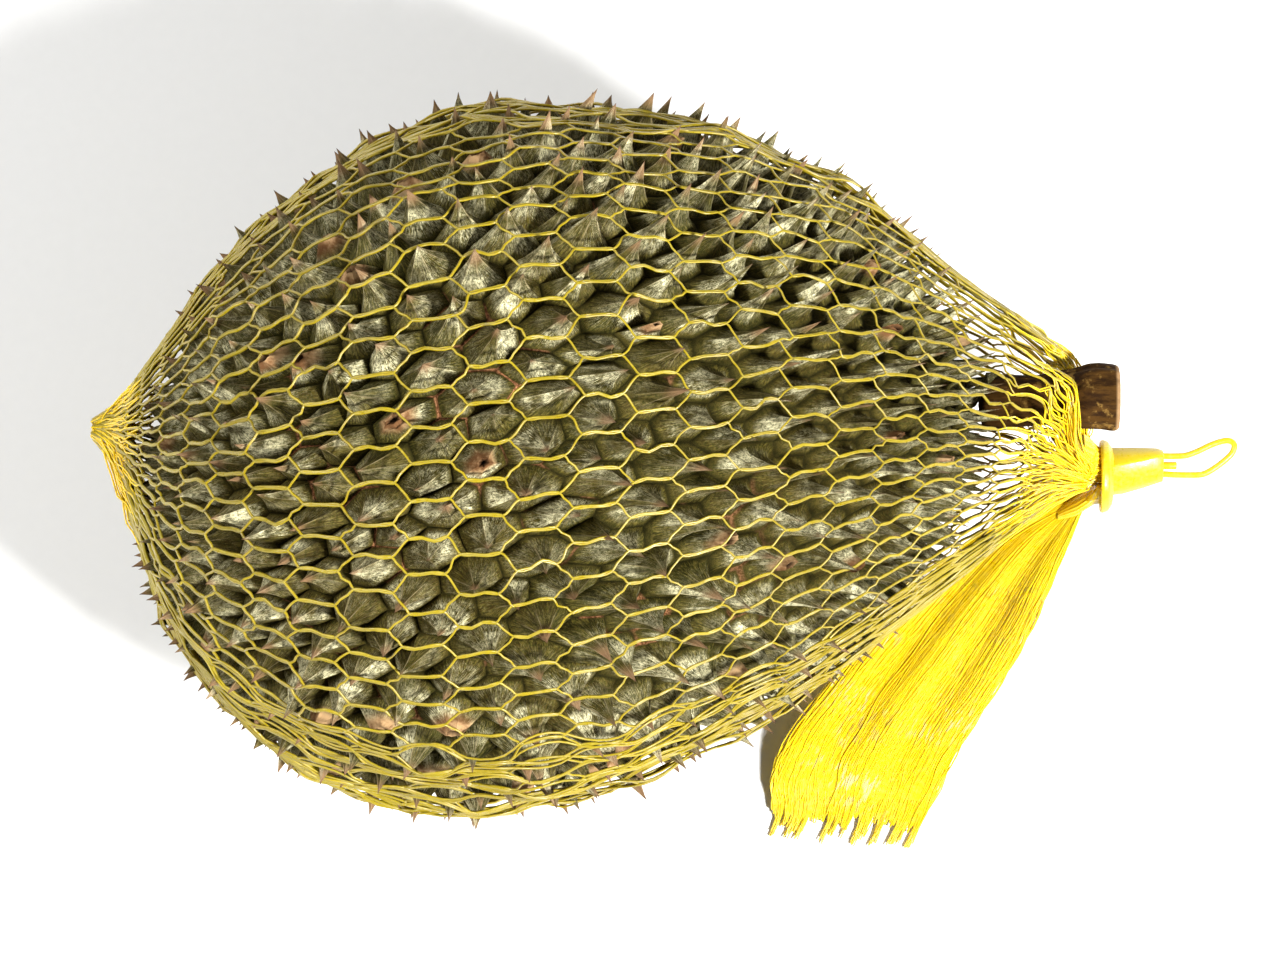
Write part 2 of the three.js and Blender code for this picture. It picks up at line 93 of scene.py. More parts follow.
def mesh_piece(name, points, faces):
    mesh = bpy.data.meshes.new(name)
    mesh.from_pydata([tuple(p) for p in to_frame(points)], [], faces)
    mesh.update()
    obj = bpy.data.objects.new(name, mesh)
    bpy.context.collection.objects.link(obj)
    return obj


# %% [markdown]
# ## The form of the fruit
#
# A durian is a blunt egg that narrows to its stalk, with five faint lobes over the seed
# chambers. Latitude 0 is the stalk end and pi the blind end.

# %% Skin of the fruit
WIDEST_X = -13.0
TO_STEM_END = 130.0
TO_BLIND_END = 101.0
HALF_WIDTH = 91.5
HALF_HEIGHT = 87.5
AXIS_HEIGHT = 99.4
AXIS_TURN = 0.1
LOBES = 5
LOBE_RISE = 0.022


def girth(toward_stem):
    stem_side = (1 - np.clip(toward_stem, 0, 1) ** 1.8) ** 0.58
    blind_side = (1 - np.clip(-toward_stem, 0, 1) ** 2) ** 0.52
    return np.where(toward_stem > 0, stem_side, blind_side)


def vectors(x, y, z):
    return np.stack(np.broadcast_arrays(x, y, z), axis=-1)


def skin_point(latitude, turn, lobe_rise):
    toward_stem = np.clip(np.cos(latitude), -1, 1)
    x = WIDEST_X + np.where(toward_stem > 0, TO_STEM_END, TO_BLIND_END) * toward_stem
    swell = 1 + lobe_rise * np.cos(LOBES * turn + 0.6) * np.sin(latitude)
    radius = girth(toward_stem) * swell
    y = AXIS_TURN * x + HALF_WIDTH * radius * np.cos(turn)
    return vectors(x, y, AXIS_HEIGHT + HALF_HEIGHT * radius * np.sin(turn))


def unit(arrows):
    length = np.linalg.norm(arrows, axis=-1, keepdims=True)
    return arrows / np.maximum(length, 1e-9)


def skin_normal(latitude, turn):
    step = 0.02
    along = skin_point(latitude + step, turn, LOBE_RISE) - skin_point(latitude - step, turn, LOBE_RISE)
    around = skin_point(latitude, turn + step, LOBE_RISE) - skin_point(latitude, turn - step, LOBE_RISE)
    return unit(np.cross(along, around))


# %% [markdown]
# ## Where the spines stand
#
# Spines follow the golden-angle spiral of growing plants, closer together at both ends.
# Each has its own patch of skin, and small random draws keep them from looking stamped.

# %% Spine places
PITCH_MIDDLE = 13.8
PITCH_BLIND_END = 10.0
PITCH_STEM_END = 7.6
PLACE_SPREAD = 0.17
PATCH_STRETCH = 1.4
HEXAGON_SHARE = 0.866
LATITUDE_STEPS = 4000
LATITUDE_FROM = 0.01
LATITUDE_TO = 3.13


def make_draw(seed):
    state = seed

    def draw():
        nonlocal state
        state = (state * 1664525 + 1013904223) & 0xFFFFFFFF
        return state / 2**31 - 1

    return draw


def pitch_at(latitude):
    toward_stem = np.cos(latitude)
    end_pitch = np.where(toward_stem > 0, PITCH_STEM_END, PITCH_BLIND_END)
    return PITCH_MIDDLE + (end_pitch - PITCH_MIDDLE) * np.abs(toward_stem) ** 2.5


def spine_places():
    draw = make_draw(7)
    golden_turn = math.pi * (3 - math.sqrt(5))
    latitudes = np.arange(LATITUDE_STEPS) / LATITUDE_STEPS * math.pi
    rim = skin_point(latitudes, 0.0, 0.0)
    stride = np.linalg.norm(np.diff(rim, axis=0), axis=1)
    pitches = pitch_at(latitudes)
    radii = HALF_WIDTH * girth(np.cos(latitudes))
    places = []
    room = 0.5
    for step in range(1, LATITUDE_STEPS):
        pitch, radius = pitches[step], radii[step]
        room += 2 * math.pi * radius * stride[step - 1] / (HEXAGON_SHARE * pitch * pitch)
        if room >= 1:
            room -= 1
            slide = PLACE_SPREAD * PATCH_STRETCH * pitch * draw() / TO_BLIND_END
            turn_slide = PLACE_SPREAD / PATCH_STRETCH * pitch * draw() / max(radius, pitch)
            turn = len(places) * golden_turn + turn_slide
            places.append((max(LATITUDE_FROM, min(LATITUDE_TO, latitudes[step] + slide)), turn))
    return np.array(places)


places = spine_places()
print("spines:", len(places))

# %% [markdown]
# ## How tall each spine is, and how it leans
#
# From the middle of the fruit on, the spines lean toward the stalk, and those near it are
# slender. On the blind half they stand square.

# %% Spine tips
SPINE_SLENDERNESS = 1.0
SPINE_SLENDERNESS_STEM = 1.2
LEAN_TO_STEM = 0.85
LEAN_FROM = -0.35
LEAN_FULL = 0.6
HEIGHT_SPREAD = 0.18
LEAN_SPREAD = 0.14
VALLEY_DEPTH = 1.2
REST_CUT = 2.0

latitude, turn = places[:, 0], places[:, 1]
feet = skin_point(latitude, turn, LOBE_RISE)
normals = skin_normal(latitude, turn)
stem_share = np.maximum(0, np.cos(latitude)) ** 3
lean_part = np.clip((np.cos(latitude) - LEAN_FROM) / (LEAN_FULL - LEAN_FROM), 0, 1)
lean_share = lean_part * lean_part * (3 - 2 * lean_part)
draw = make_draw(11)
draws = np.array([[draw(), draw(), draw()] for _ in places])
slenderness = SPINE_SLENDERNESS + (SPINE_SLENDERNESS_STEM - SPINE_SLENDERNESS) * stem_share
heights = pitch_at(latitude) * slenderness * (1 + HEIGHT_SPREAD * draws[:, 0])
lean_x = LEAN_TO_STEM * lean_share + LEAN_SPREAD * draws[:, 1]
lean = vectors(lean_x, LEAN_SPREAD * draws[:, 2], 0)
tips = feet + unit(normals + lean) * heights[:, None]
print("spine height from", heights.min().round(1), "to", heights.max().round(1), "mm")

# %% [markdown]
# ## The patches of skin
#
# Neighbouring spines meet where three patches touch. A wrap of triangles over the spine
# places finds those corners: one for each triangle. The places are laid on a ball whose
# latitudes are drawn toward its middle, so that patches that are even on the ball are
# longer along the fruit than across it, as on a real durian.

# %% Patch corners
SLIM_FROM_X = -5.0
SLIM_OVER = 75.0
DEEPER_AT_STEM = 2.8
UPRIGHT_AT_STEM = 2.2
TIP_SHIFT_AT_STEM = [-1.2, 1.2, 0.0]


def directions(tilt, turn):
    return vectors(np.cos(tilt), np.sin(tilt) * np.cos(turn), np.sin(tilt) * np.sin(turn))


on_ball = directions(2 * np.arctan(np.tan(latitude / 2) ** (1 / PATCH_STRETCH)), turn)
wrap = bmesh.new()
for point in on_ball:
    wrap.verts.new(point)
wrap.verts.index_update()
bmesh.ops.convex_hull(wrap, input=list(wrap.verts))
trios = [[v.index for v in face.verts] for face in wrap.faces]
wrap.free()
trios = np.array([trio for trio in trios if len(trio) == 3])
slim_share = np.clip((feet[:, 0] - SLIM_FROM_X) / SLIM_OVER, 0, 1)
tips = tips + slim_share[:, None] * (UPRIGHT_AT_STEM * normals + TIP_SHIFT_AT_STEM)
valley = feet - (VALLEY_DEPTH + DEEPER_AT_STEM * slim_share)[:, None] * normals
corners = valley[trios].mean(axis=1)
corners_of = [[] for _ in places]
for index, trio in enumerate(trios):
    for spine in trio:
        corners_of[spine].append(index)


def in_order(spine):
    side = np.cross([0, 0, 1], normals[spine])
    side = unit(side) if np.linalg.norm(side) > 0.1 else np.array([0.0, 1.0, 0.0])
    up = unit(np.cross(normals[spine], side))
    arms = corners[corners_of[spine]] - feet[spine]
    order = np.argsort(np.arctan2(arms @ up, arms @ side))
    return [corners_of[spine][i] for i in order]


corners_of = [in_order(spine) for spine in range(len(places))]
print("corners:", len(corners), "sides of a spine:", np.mean([len(c) for c in corners_of]).round(2))

# %% [markdown]
# ## Real spines
#
# A durian's spine stands on a swollen foot, with a narrow groove round it. Above the foot
# its sides are hollow and steepen to a sharp tip, and a ridge runs from the tip to each
# corner. Each spine is a stack of rings that shrink toward the tip. Low down, the corners
# are drawn inward, which rounds the foot. Higher up they stand out as ridges.

# %% Husk mesh
RING_SIZES = np.array([1.0, 0.94, 0.78, 0.46, 0.19, 0.05])
RING_RISES = np.array([0.0, 0.085, 0.2, 0.4, 0.66, 0.89])
CORNER_SHARES = [0.0, -0.07, -0.02, 0.1, 0.16, 0.1]
SLIM_SIZES = np.array([1.0, 0.75, 0.51, 0.31, 0.155, 0.05])
HOOK = 1.6
BEND_SPREAD = 0.45
WOBBLE = 0.1
LEAST_WOBBLE = 0.02
SIDE_STEPS = 3
BROKEN_SHARE = 0.05
BROKEN_HEIGHT = 0.6
BROKEN_WIDTH = 0.2
SCAR_DEPTH = 0.18
husk_draw = np.random.default_rng(5)
broken = husk_draw.random(len(places)) < BROKEN_SHARE


def spine_rings(spine):
    ring = corners[corners_of[spine]]
    ahead = np.roll(ring, -1, axis=0)
    shares = np.arange(SIDE_STEPS) / SIDE_STEPS
    base = (ring[:, None] * (1 - shares[:, None]) + ahead[:, None] * shares[:, None]).reshape(-1, 3)
    middle = ring.mean(axis=0)
    tip = tips[spine]
    bend = husk_draw.normal(0, BEND_SPREAD, 3) - HOOK * lean_share[spine] * normals[spine]
    ridge = np.tile(1 - 4 * shares * (1 - shares), len(ring))
    sizes = RING_SIZES + (SLIM_SIZES - RING_SIZES) * slim_share[spine]
    levels = RING_RISES
    if broken[spine]:
        sizes = np.maximum(sizes, BROKEN_WIDTH)
        levels = np.minimum(RING_RISES, BROKEN_HEIGHT)
        tip = middle + (tip - middle) * (BROKEN_HEIGHT - SCAR_DEPTH)
    rings = []
    for size, rise, level, corner in zip(sizes, RING_RISES, levels, CORNER_SHARES):
        centre = middle + (tips[spine] - middle) * level + bend * math.sin(math.pi * level)
        ring_points = centre + (base - middle) * (size * (1 + corner * ridge))[:, None]
        if rise:
            ring_points = ring_points + husk_draw.normal(0, WOBBLE * size + LEAST_WOBBLE, ring_points.shape)
        rings.append((ring_points, rise, ridge))
    return rings, tip


print("broken tips:", int(broken.sum()))

# %% [markdown]
# The rings of each spine are joined by quads. Every point notes how high on its spine it
# is, how near a ridge, and a draw of its spine's own, for the material to read.

# %% Join the rings
points, faces, spine_facts, spine_worn, face_uvs = [], [], [], [], []
tip_shades = husk_draw.random(len(places))
top_level = len(RING_SIZES) - 1
for spine in range(len(places)):
    rings, tip = spine_rings(spine)
    count = len(rings[0][0])
    start = len(points)
    for ring_points, rise, ridge in rings:
        points.extend(ring_points)
        spine_facts.extend((rise, r, tip_shades[spine]) for r in ridge)
    tip_index = len(points)
    points.append(tip)
    spine_facts.append((1.0, 1.0, tip_shades[spine]))
    spine_worn.extend([float(broken[spine])] * (tip_index + 1 - start))
    for level in range(top_level):
        low, high = start + level * count, start + (level + 1) * count
        for i in range(count):
            j = (i + 1) % count
            faces.append((low + i, low + j, high + j, high + i))
            face_uvs.extend([(i, level), (i + 1, level), (i + 1, level + 1), (i, level + 1)])
    top = start + top_level * count
    for i in range(count):
        faces.append((top + i, top + (i + 1) % count, tip_index))
        face_uvs.extend([(i, top_level), (i + 1, top_level), (i + 0.5, top_level + 1)])
points = np.array(points)
print("husk points:", len(points), "faces:", len(faces))

# %% [markdown]
# The fruit's weight blunts the tips that it lies on, and the stalk pushes the smallest
# spines aside where it leaves the husk.

# %% Blunt the low tips and clear the stalk
STEM_FOOT = np.array([117.6, 14.2, AXIS_HEIGHT])
STEM_FAR = np.array([STEM_END_X, 16.4, AXIS_HEIGHT + 1])
STEM_ROOM = 8.9


def off_stem_axis(where):
    axis = unit(STEM_FAR - STEM_FOOT)
    along = (where - STEM_FOOT) @ axis
    beside_it = (along > 0) & (along < np.linalg.norm(STEM_FAR - STEM_FOOT))
    return where - STEM_FOOT - along[:, None] * axis, beside_it


arm, beside_it = off_stem_axis(points)
distance = np.linalg.norm(arm, axis=1)
too_near = beside_it & (distance < STEM_ROOM)
points = np.where(too_near[:, None], points + unit(arm) * (STEM_ROOM - distance)[:, None], points)
points[:, 2] = np.maximum(points[:, 2], REST_CUT)

# %% Build the husk piece
husk = mesh_piece("husk_spines", points, faces)
facts = husk.data.attributes.new("spine", "FLOAT_VECTOR", "POINT")
facts.data.foreach_set("vector", np.array(spine_facts, dtype=np.float32).ravel())
worn_tips = husk.data.attributes.new("worn", "FLOAT", "POINT")
worn_tips.data.foreach_set("value", np.array(spine_worn, dtype=np.float32))
uv_layer = husk.data.uv_layers.new(name="fibres")
uv_layer.data.foreach_set("uv", np.array(face_uvs, dtype=np.float32).ravel())


def face_outward(piece, merge_within=0.0):
    pick(piece)
    bpy.ops.object.mode_set(mode="EDIT")
    bpy.ops.mesh.select_all(action="SELECT")
    if merge_within:
        bpy.ops.mesh.remove_doubles(threshold=merge_within)
    bpy.ops.mesh.normals_make_consistent(inside=False)
    bpy.ops.object.mode_set(mode="OBJECT")


def count_triangles(piece):
    print(piece.name, "triangles:", sum(len(p.vertices) - 2 for p in piece.data.polygons))


def smooth(piece, sharpest):
    pick(piece)
    bpy.ops.object.shade_smooth_by_angle(angle=math.radians(sharpest))
    count_triangles(piece)


face_outward(husk, 0.00001)
smooth(husk, 34)

# %% [markdown]
# ## Ways to build a material
#
# Every material here is procedural. These short helpers add one node at a time, to the
# node tree of the sockets that they are given, and link or set its inputs.

# %% Material helpers


def is_socket(value):
    return isinstance(value, bpy.types.NodeSocket)


def set_up(node, values):
    for name, value in values.items():
        if is_socket(value):
            node.id_data.links.new(value, node.inputs[name])
        else:
            node.inputs[name].default_value = value


def add(tree, kind, values=None, **settings):
    node = tree.nodes.new(kind)
    for name, value in settings.items():
        setattr(node, name, value)
    set_up(node, values or {})
    return node


def tree_of(*values):
    return next(value.id_data for value in values if is_socket(value))


def maths(operation, a, b=0.5, clamp=False):
    node = add(tree_of(a, b), "ShaderNodeMath", {0: a, 1: b}, operation=operation, use_clamp=clamp)
    return node.outputs[0]


def times(a, b, clamp=False):
    return maths("MULTIPLY", a, b, clamp)


def plus(a, b):
    return maths("ADD", a, b)


def blend(factor, a, b, mode="MIX"):
    values = {0: factor, 6: a, 7: b}
    node = add(tree_of(factor, a), "ShaderNodeMix", values, data_type="RGBA", blend_type=mode)
    return node.outputs[2]


def steps(value, low, high, to_low=0.0, to_high=1.0):
    values = {0: value, 1: low, 2: high, 3: to_low, 4: to_high}
    return add(value.id_data, "ShaderNodeMapRange", values, interpolation_type="SMOOTHSTEP").outputs[0]


def noise(where, scale, detail=3.0, roughness=0.55):
    values = {"Vector": where, "Scale": scale, "Detail": detail, "Roughness": roughness}
    return add(where.id_data, "ShaderNodeTexNoise", values).outputs[0]


def parts_of(vector):
    return add(vector.id_data, "ShaderNodeSeparateXYZ", {0: vector}).outputs


def mapped(vector, setting, numbers):
    return add(vector.id_data, "ShaderNodeMapping", {0: vector, setting: numbers}).outputs[0]


def place_in(tree):
    return add(tree, "ShaderNodeTexCoord").outputs["Object"]


def attribute(tree, name, output):
    return add(tree, "ShaderNodeAttribute", attribute_name=name, attribute_type="GEOMETRY").outputs[output]


def bumps(height, strength, distance):
    values = {"Strength": strength, "Distance": distance, "Height": height}
    return add(height.id_data, "ShaderNodeBump", values).outputs[0]


def new_material(name):
    material = bpy.data.materials.new(name)
    material.use_nodes = True
    tree = material.node_tree
    return material, tree, tree.nodes["Principled BSDF"]


# %% [markdown]
# ## Husk skin
#
# Fresh husk is olive green under a pale, speckled bloom. Fibres run from each tip down the
# flanks. Tips dry to a pinkish brown and ridges to tan. The grooves get painted shade, dark
# and greener. Reddish-brown papery seams lie in some grooves.

# %% Husk material
husk_skin, tree, skin = new_material("husk_skin")
rise, ridge, own = parts_of(attribute(tree, "spine", "Vector"))
place = place_in(tree)
side_turn, side_rise = parts_of(add(tree, "ShaderNodeUVMap", uv_map="fibres").outputs[0])[:2]
fibre_turn = plus(side_turn, times(own, 900.0))
fibre_place = add(tree, "ShaderNodeCombineXYZ", {0: fibre_turn, 1: times(side_rise, 0.12)}).outputs[0]
fibres = noise(fibre_place, 4.5, 4.0, 0.65)
fine_fibres = noise(fibre_place, 13.0, 2.0, 0.6)
patches = noise(place, 16.0, 3.0)
mottle = noise(place, 170.0, 4.0, 0.65)
specks = noise(place, 1300.0, 3.0, 0.7)
print("nodes of the husk's patterns:", len(tree.nodes))

# %% [markdown]
# Each flat side of a spine has a tone of its own. The bloom is thicker on some sides and
# toward the stalk, and streaks and specks break it up.

# %% Sides, bloom, ridges and tips
side_number = maths("FLOOR", maths("DIVIDE", side_turn, float(SIDE_STEPS)))
side_number = plus(side_number, times(own, 7000.0))
side_draws = add(tree, "ShaderNodeTexWhiteNoise", {"W": side_number}, noise_dimensions="1D")
side_parts = add(tree, "ShaderNodeSeparateColor", {0: side_draws.outputs["Color"]}).outputs
olive = blend(steps(patches, 0.42, 0.6), (0.020, 0.021, 0.0022, 1), (0.043, 0.029, 0.0035, 1))
olive = blend(times(side_parts[0], 0.5), olive, (0.075, 0.047, 0.012, 1))
olive = blend(steps(fibres, 0.44, 0.64), olive, (0.092, 0.072, 0.013, 1))
olive = blend(steps(fine_fibres, 0.5, 0.66, 0.0, 0.6), olive, (0.17, 0.14, 0.038, 1))
on_foot = steps(rise, 0.05, 0.3)
bloom_cloud = steps(noise(place, 74.0, 2.0), 0.4, 0.6, 0.2, 1.0)
bloom_side = times(bloom_cloud, steps(side_parts[1], 0.35, 0.75, 0.14, 1.25))
bloom_streaks = times(fine_fibres, 0.55)
bloom_marks = plus(bloom_streaks, times(mottle, 0.45))
stemward = steps(parts_of(place)[0], -0.01, 0.05)
more_at_stem = plus(times(stemward, 0.6), 1.05)
bloom_area = times(times(bloom_side, more_at_stem), on_foot)
bloom = times(steps(bloom_marks, 0.42, 0.62), bloom_area)
flank = blend(times(bloom, 0.98, True), olive, (0.88, 0.82, 0.50, 1))
speck_share = times(steps(specks, 0.5, 0.58), 0.65)
flank = blend(speck_share, flank, (0.030, 0.032, 0.005, 1))
ridge_share = times(steps(ridge, 0.7, 1.0), steps(rise, 0.25, 0.55))
flank = blend(times(ridge_share, 0.35), flank, (0.50, 0.40, 0.22, 1))
tip_start = plus(times(own, 0.25), 0.52)
tip_start = plus(tip_start, times(stemward, 0.12))
tip_share = steps(maths("SUBTRACT", rise, tip_start), 0.0, 0.3)
flank = blend(times(tip_share, 0.75), flank, (0.31, 0.175, 0.09, 1))
flank = blend(steps(rise, 0.9, 1.0, 0.0, 0.85), flank, (0.10, 0.05, 0.03, 1))
# Painted shade: the grooves round each spine's foot are blended toward near-black.
groove_painted_shade = steps(rise, 0.0, 0.075, 1.0, 0.0)
flank = blend(times(groove_painted_shade, 0.7), flank, (0.008, 0.008, 0.001, 1))
fibre_shade = steps(fibres, 0.35, 0.65, 0.68, 1.14)
flank = blend(1.0, flank, fibre_shade, "MULTIPLY")

# %% [markdown]
# Papery brown shreds stay in some grooves of the blind half, from the flower's scales. A
# few tips are broken off and have dried to a brown scar with a dark hollow.

# %% Seams and scars
ragged = plus(rise, times(mottle, 0.06))
seam_place = steps(noise(place, 36.0, 2.0), 0.57, 0.61)
toward_blind = steps(parts_of(place)[0], 0.0, 0.035, 1.0, 0.0)
seam = times(steps(ragged, 0.045, 0.085, 1.0, 0.0), seam_place)
seam_share = times(seam, times(toward_blind, 0.9))
seam_tone = blend(steps(specks, 0.42, 0.58), (0.14, 0.055, 0.022, 1), (0.40, 0.19, 0.085, 1))
flank = blend(seam_share, flank, seam_tone)
worn = attribute(tree, "worn", "Fac")
scar = times(worn, steps(rise, 0.25, 0.5))
scar_tone = blend(steps(mottle, 0.4, 0.62), (0.16, 0.075, 0.030, 1), (0.46, 0.29, 0.14, 1))
flank = blend(scar, flank, scar_tone)
hollow = times(worn, steps(rise, 0.86, 0.97))
flank = blend(times(hollow, 0.9), flank, (0.014, 0.007, 0.003, 1))
relief = plus(times(fibres, 0.6), times(fine_fibres, 0.4))
relief = plus(relief, times(mottle, 0.35))
relief = bumps(relief, 0.9, 0.0004)
set_up(skin, {"Base Color": flank, "Roughness": 0.78, "Specular IOR Level": 0.06, "Normal": relief})


def dress(pieces, material, node):
    for piece in pieces:
        piece.data.materials.append(material)
        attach(piece, "root")
        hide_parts(node)


dress([husk], husk_skin, "husk")

# %% [markdown]
# ## What the net lies on
#
# The net is drawn over the spines and settles between them. To find where it can go, rays
# from all round the fruit toward its middle measure how far the spines reach. The net
# catches on the spines near their tips, so it sags only a little below the tips' level.

# %% Reach of the spines
FRUIT_MIDDLE = np.array([0.0, 0.0, AXIS_HEIGHT])
TILTS, TURNS = 360, 720
RAY_START = 260.0
LEAST_REACH = 60.0
surface_tree = BVHTree.FromPolygons([tuple(p) for p in points], faces)
tilt_grid, turn_grid = np.meshgrid(
    (np.arange(TILTS) + 0.5) / TILTS * math.pi, np.arange(TURNS) / TURNS * 2 * math.pi, indexing="ij"
)
spine_reach = np.zeros((TILTS, TURNS))
ray_ways = directions(tilt_grid, turn_grid)
for i in range(TILTS):
    for j in range(TURNS):
        way = ray_ways[i, j]
        hit = surface_tree.ray_cast(Vector(FRUIT_MIDDLE + way * RAY_START), Vector(-way))
        spine_reach[i, j] = RAY_START - hit[3] if hit[3] is not None else LEAST_REACH

print("spines reach from", spine_reach.min().round(1), "to", spine_reach.max().round(1), "mm")

# %% [markdown]
# Each cell of the map takes the tallest reach round it, and then those are evened out. That
# gives the level of the tips. The slopes of the map say which way is out of a spine.

# %% Level of the tips
TIP_CELLS = 9
NET_SAG = 4.2


def spread_out(reach, mix):
    rows = np.pad(reach, ((1, 1), (0, 0)), mode="edge")
    taller = mix(mix(rows[1:-1], rows[:-2]), rows[2:])
    return mix(mix(taller, np.roll(taller, 1, axis=1)), np.roll(taller, -1, axis=1))


def mean_of(one, other):
    return (one + other) / 2


tip_level = spine_reach
for _ in range(TIP_CELLS):
    tip_level = spread_out(tip_level, np.maximum)
for _ in range(TIP_CELLS):
    tip_level = spread_out(tip_level, mean_of)
wide = np.maximum(spread_out(spine_reach, np.maximum), tip_level - NET_SAG)
slope_tilt = np.gradient(wide, math.pi / TILTS, axis=0)
slope_turn = (np.roll(wide, -1, axis=1) - np.roll(wide, 1, axis=1)) / (4 * math.pi / TURNS)
husk_map = vectors(wide, slope_tilt, slope_turn)
print("net level from", wide.min().round(1), "to", wide.max().round(1), "mm")

# %% [markdown]
# A point of the net that is too low slides out along the slope of the map.

# %% Slide out of the spines
STEEPEST = 1.6


def read_map(tilt, turn):
    row = np.clip(tilt / math.pi * TILTS - 0.5, 0, TILTS - 1.001)
    column = (turn % (2 * math.pi)) / (2 * math.pi) * TURNS
    r0, c0 = row.astype(int), column.astype(int) % TURNS
    c1 = (c0 + 1) % TURNS
    down, right = (row - r0)[:, None], (column - np.floor(column))[:, None]
    upper = husk_map[r0, c0] * (1 - right) + husk_map[r0, c1] * right
    lower = husk_map[r0 + 1, c0] * (1 - right) + husk_map[r0 + 1, c1] * right
    return upper * (1 - down) + lower * down


def lift_off_husk(where, room):
    arm = where - FRUIT_MIDDLE
    distance = np.linalg.norm(arm, axis=1)
    tilt = np.arccos(np.clip(arm[:, 0] / distance, -1, 1))
    turn = np.arctan2(arm[:, 2], arm[:, 1])
    reach, by_tilt, by_turn = read_map(tilt, turn).T
    outward = directions(tilt, turn)
    along = vectors(-np.sin(tilt), np.cos(tilt) * np.cos(turn), np.cos(tilt) * np.sin(turn))
    around = vectors(0 * turn, -np.sin(turn), np.cos(turn))
    slope_a = np.clip(by_tilt / distance, -STEEPEST, STEEPEST)
    slope_b = np.clip(by_turn / (distance * np.maximum(np.sin(tilt), 0.05)), -STEEPEST, STEEPEST)
    normal = unit(outward - slope_a[:, None] * along - slope_b[:, None] * around)
    depth = np.maximum(0, reach + room - distance)
    facing = np.sum(normal * outward, axis=1)
    return where + normal * (depth * facing)[:, None]


# %% [markdown]
# ## The net
#
# The bag is a tube of hexagonal netting. Strands run the length of the fruit in zigzags,
# and where two touch they are bonded for a short stretch. Its meshes are about 16 mm by
# 11 mm. It starts as a loose tube round the fruit and gathers at both ends.

# %% Loose tube of netting
CELLS_ROUND = 60
RINGS = 23
CELLS_END = 0.945
NECK_PITCH = 0.5
JOINT_SHARE = 0.54
COLUMNS = 2 * CELLS_ROUND
STRAND_RADIUS = 0.4
PROFILE_STEPS = 801
SWAY = (0.035, 0.02)
SURGE = (0.007, 0.005)
STEM_OPENING = 1.2
STEM_OPENING_TURN = 0.7
STEM_OPENING_FROM = 0.87
BAG_STATIONS = np.array([
    [-127.5, 5, 95, 9.5, 9.5],
    [-126, -2, 97, 30, 30],
    [-115, -9, 99, 56, 54],
    [-80, -8, 101, 88, 86],
    [-13, -1, 101, 111, 108],
    [50, 5, 101, 98, 96],
    [95, 9, 101, 71, 70],
    [124, 10, 99, 46, 46],
    [141, 6, 93, 27, 27],
    [149, 0.2, 85.5, 7.6, 7.8],
])


def through(stations, share):
    stations = np.asarray(stations, dtype=float)
    padded = np.vstack([2 * stations[0] - stations[1], stations, 2 * stations[-1] - stations[-2]])
    spot = np.clip(np.asarray(share, dtype=float), 0, 1) * (len(stations) - 1)
    first = np.minimum(spot.astype(int), len(stations) - 2)
    t = (spot - first)[..., None]
    a, b, c, d = (padded[first + k] for k in range(4))
    return 0.5 * (2 * b + (c - a) * t + (2 * a - 5 * b + 4 * c - d) * t**2 + (3 * b - a - 3 * c + d) * t**3)


profile_shares = np.linspace(0, 1, PROFILE_STEPS)
rim = through(BAG_STATIONS, profile_shares)
strides = np.linalg.norm(np.diff(rim[:, :3], axis=0), axis=1)
rim_length = np.concatenate([[0], np.cumsum(np.hypot(strides, np.diff(rim[:, 3])))])


def on_bag(along, turn):
    share = np.interp(along * rim_length[-1], rim_length, profile_shares)
    station = through(BAG_STATIONS, share)
    middle = station[..., :3]
    arm = vectors(0 * turn, station[..., 3] * np.cos(turn), station[..., 4] * np.sin(turn))
    return middle + arm, middle


def aside_of_stem(along, turn):
    part = np.clip((along - STEM_OPENING_FROM) / (1 - STEM_OPENING_FROM), 0, None)
    from_stem = (turn - STEM_OPENING_TURN + 3 * math.pi) % (2 * math.pi) - math.pi
    opening = STEM_OPENING * part
    aside = opening + np.abs(from_stem) * (1 - opening / math.pi)
    return STEM_OPENING_TURN + np.where(from_stem < 0, -aside, aside)


print("bag length", rim_length[-1].round(), "mm")

# %% [markdown]
# Rings of bonded stretches follow each other along the bag, each ring half a mesh aside of
# the one before. A slow sway and a surge keep the meshes from being all alike.

# %% Nodes and strands


def column_at(line, ring):
    return line if line % 2 == ring % 2 else (line + 1) % COLUMNS


node_of = {}
node_along, node_column = [], []
strands = []
for ring in range(RINGS):
    for column in range(ring % 2, COLUMNS, 2):
        node_of[ring, column] = len(node_along)
        for along in (ring, ring + JOINT_SHARE):
            node_along.append(CELLS_END * along / (RINGS - 1 + JOINT_SHARE))
            node_column.append(column)
        strands.append((node_of[ring, column], node_of[ring, column] + 1))
for (ring, column), start in list(node_of.items()):
    for side in (-1, 1):
        following = node_of.get((ring + 1, (column + side) % COLUMNS))
        if following is not None:
            strands.append((start + 1, following))
neck_node_of = {}
for line in range(COLUMNS):
    column = column_at(line, RINGS - 1)
    neck_node_of[line] = len(node_along)
    node_along.append(1.0)
    node_column.append(column + (NECK_PITCH if column == line else -NECK_PITCH))
    strands.append((node_of[RINGS - 1, column] + 1, neck_node_of[line]))
node_along = np.array(node_along)
node_turn = np.array(node_column) / COLUMNS * 2 * math.pi
slack = np.sin(math.pi * node_along)
sway = SWAY[0] * np.sin(3 * node_turn + 5 * node_along) + SWAY[1] * np.sin(7 * node_turn - 17 * node_along)
node_turn = node_turn + slack * sway
surge = SURGE[0] * np.sin(4 * node_turn + 2) + SURGE[1] * np.sin(9 * node_turn + 23 * node_along)
node_along = node_along + slack * surge
node_turn = aside_of_stem(node_along, node_turn)
net_nodes, net_middles = on_bag(node_along, node_turn)
print("net nodes:", len(net_nodes), "strands:", len(strands))

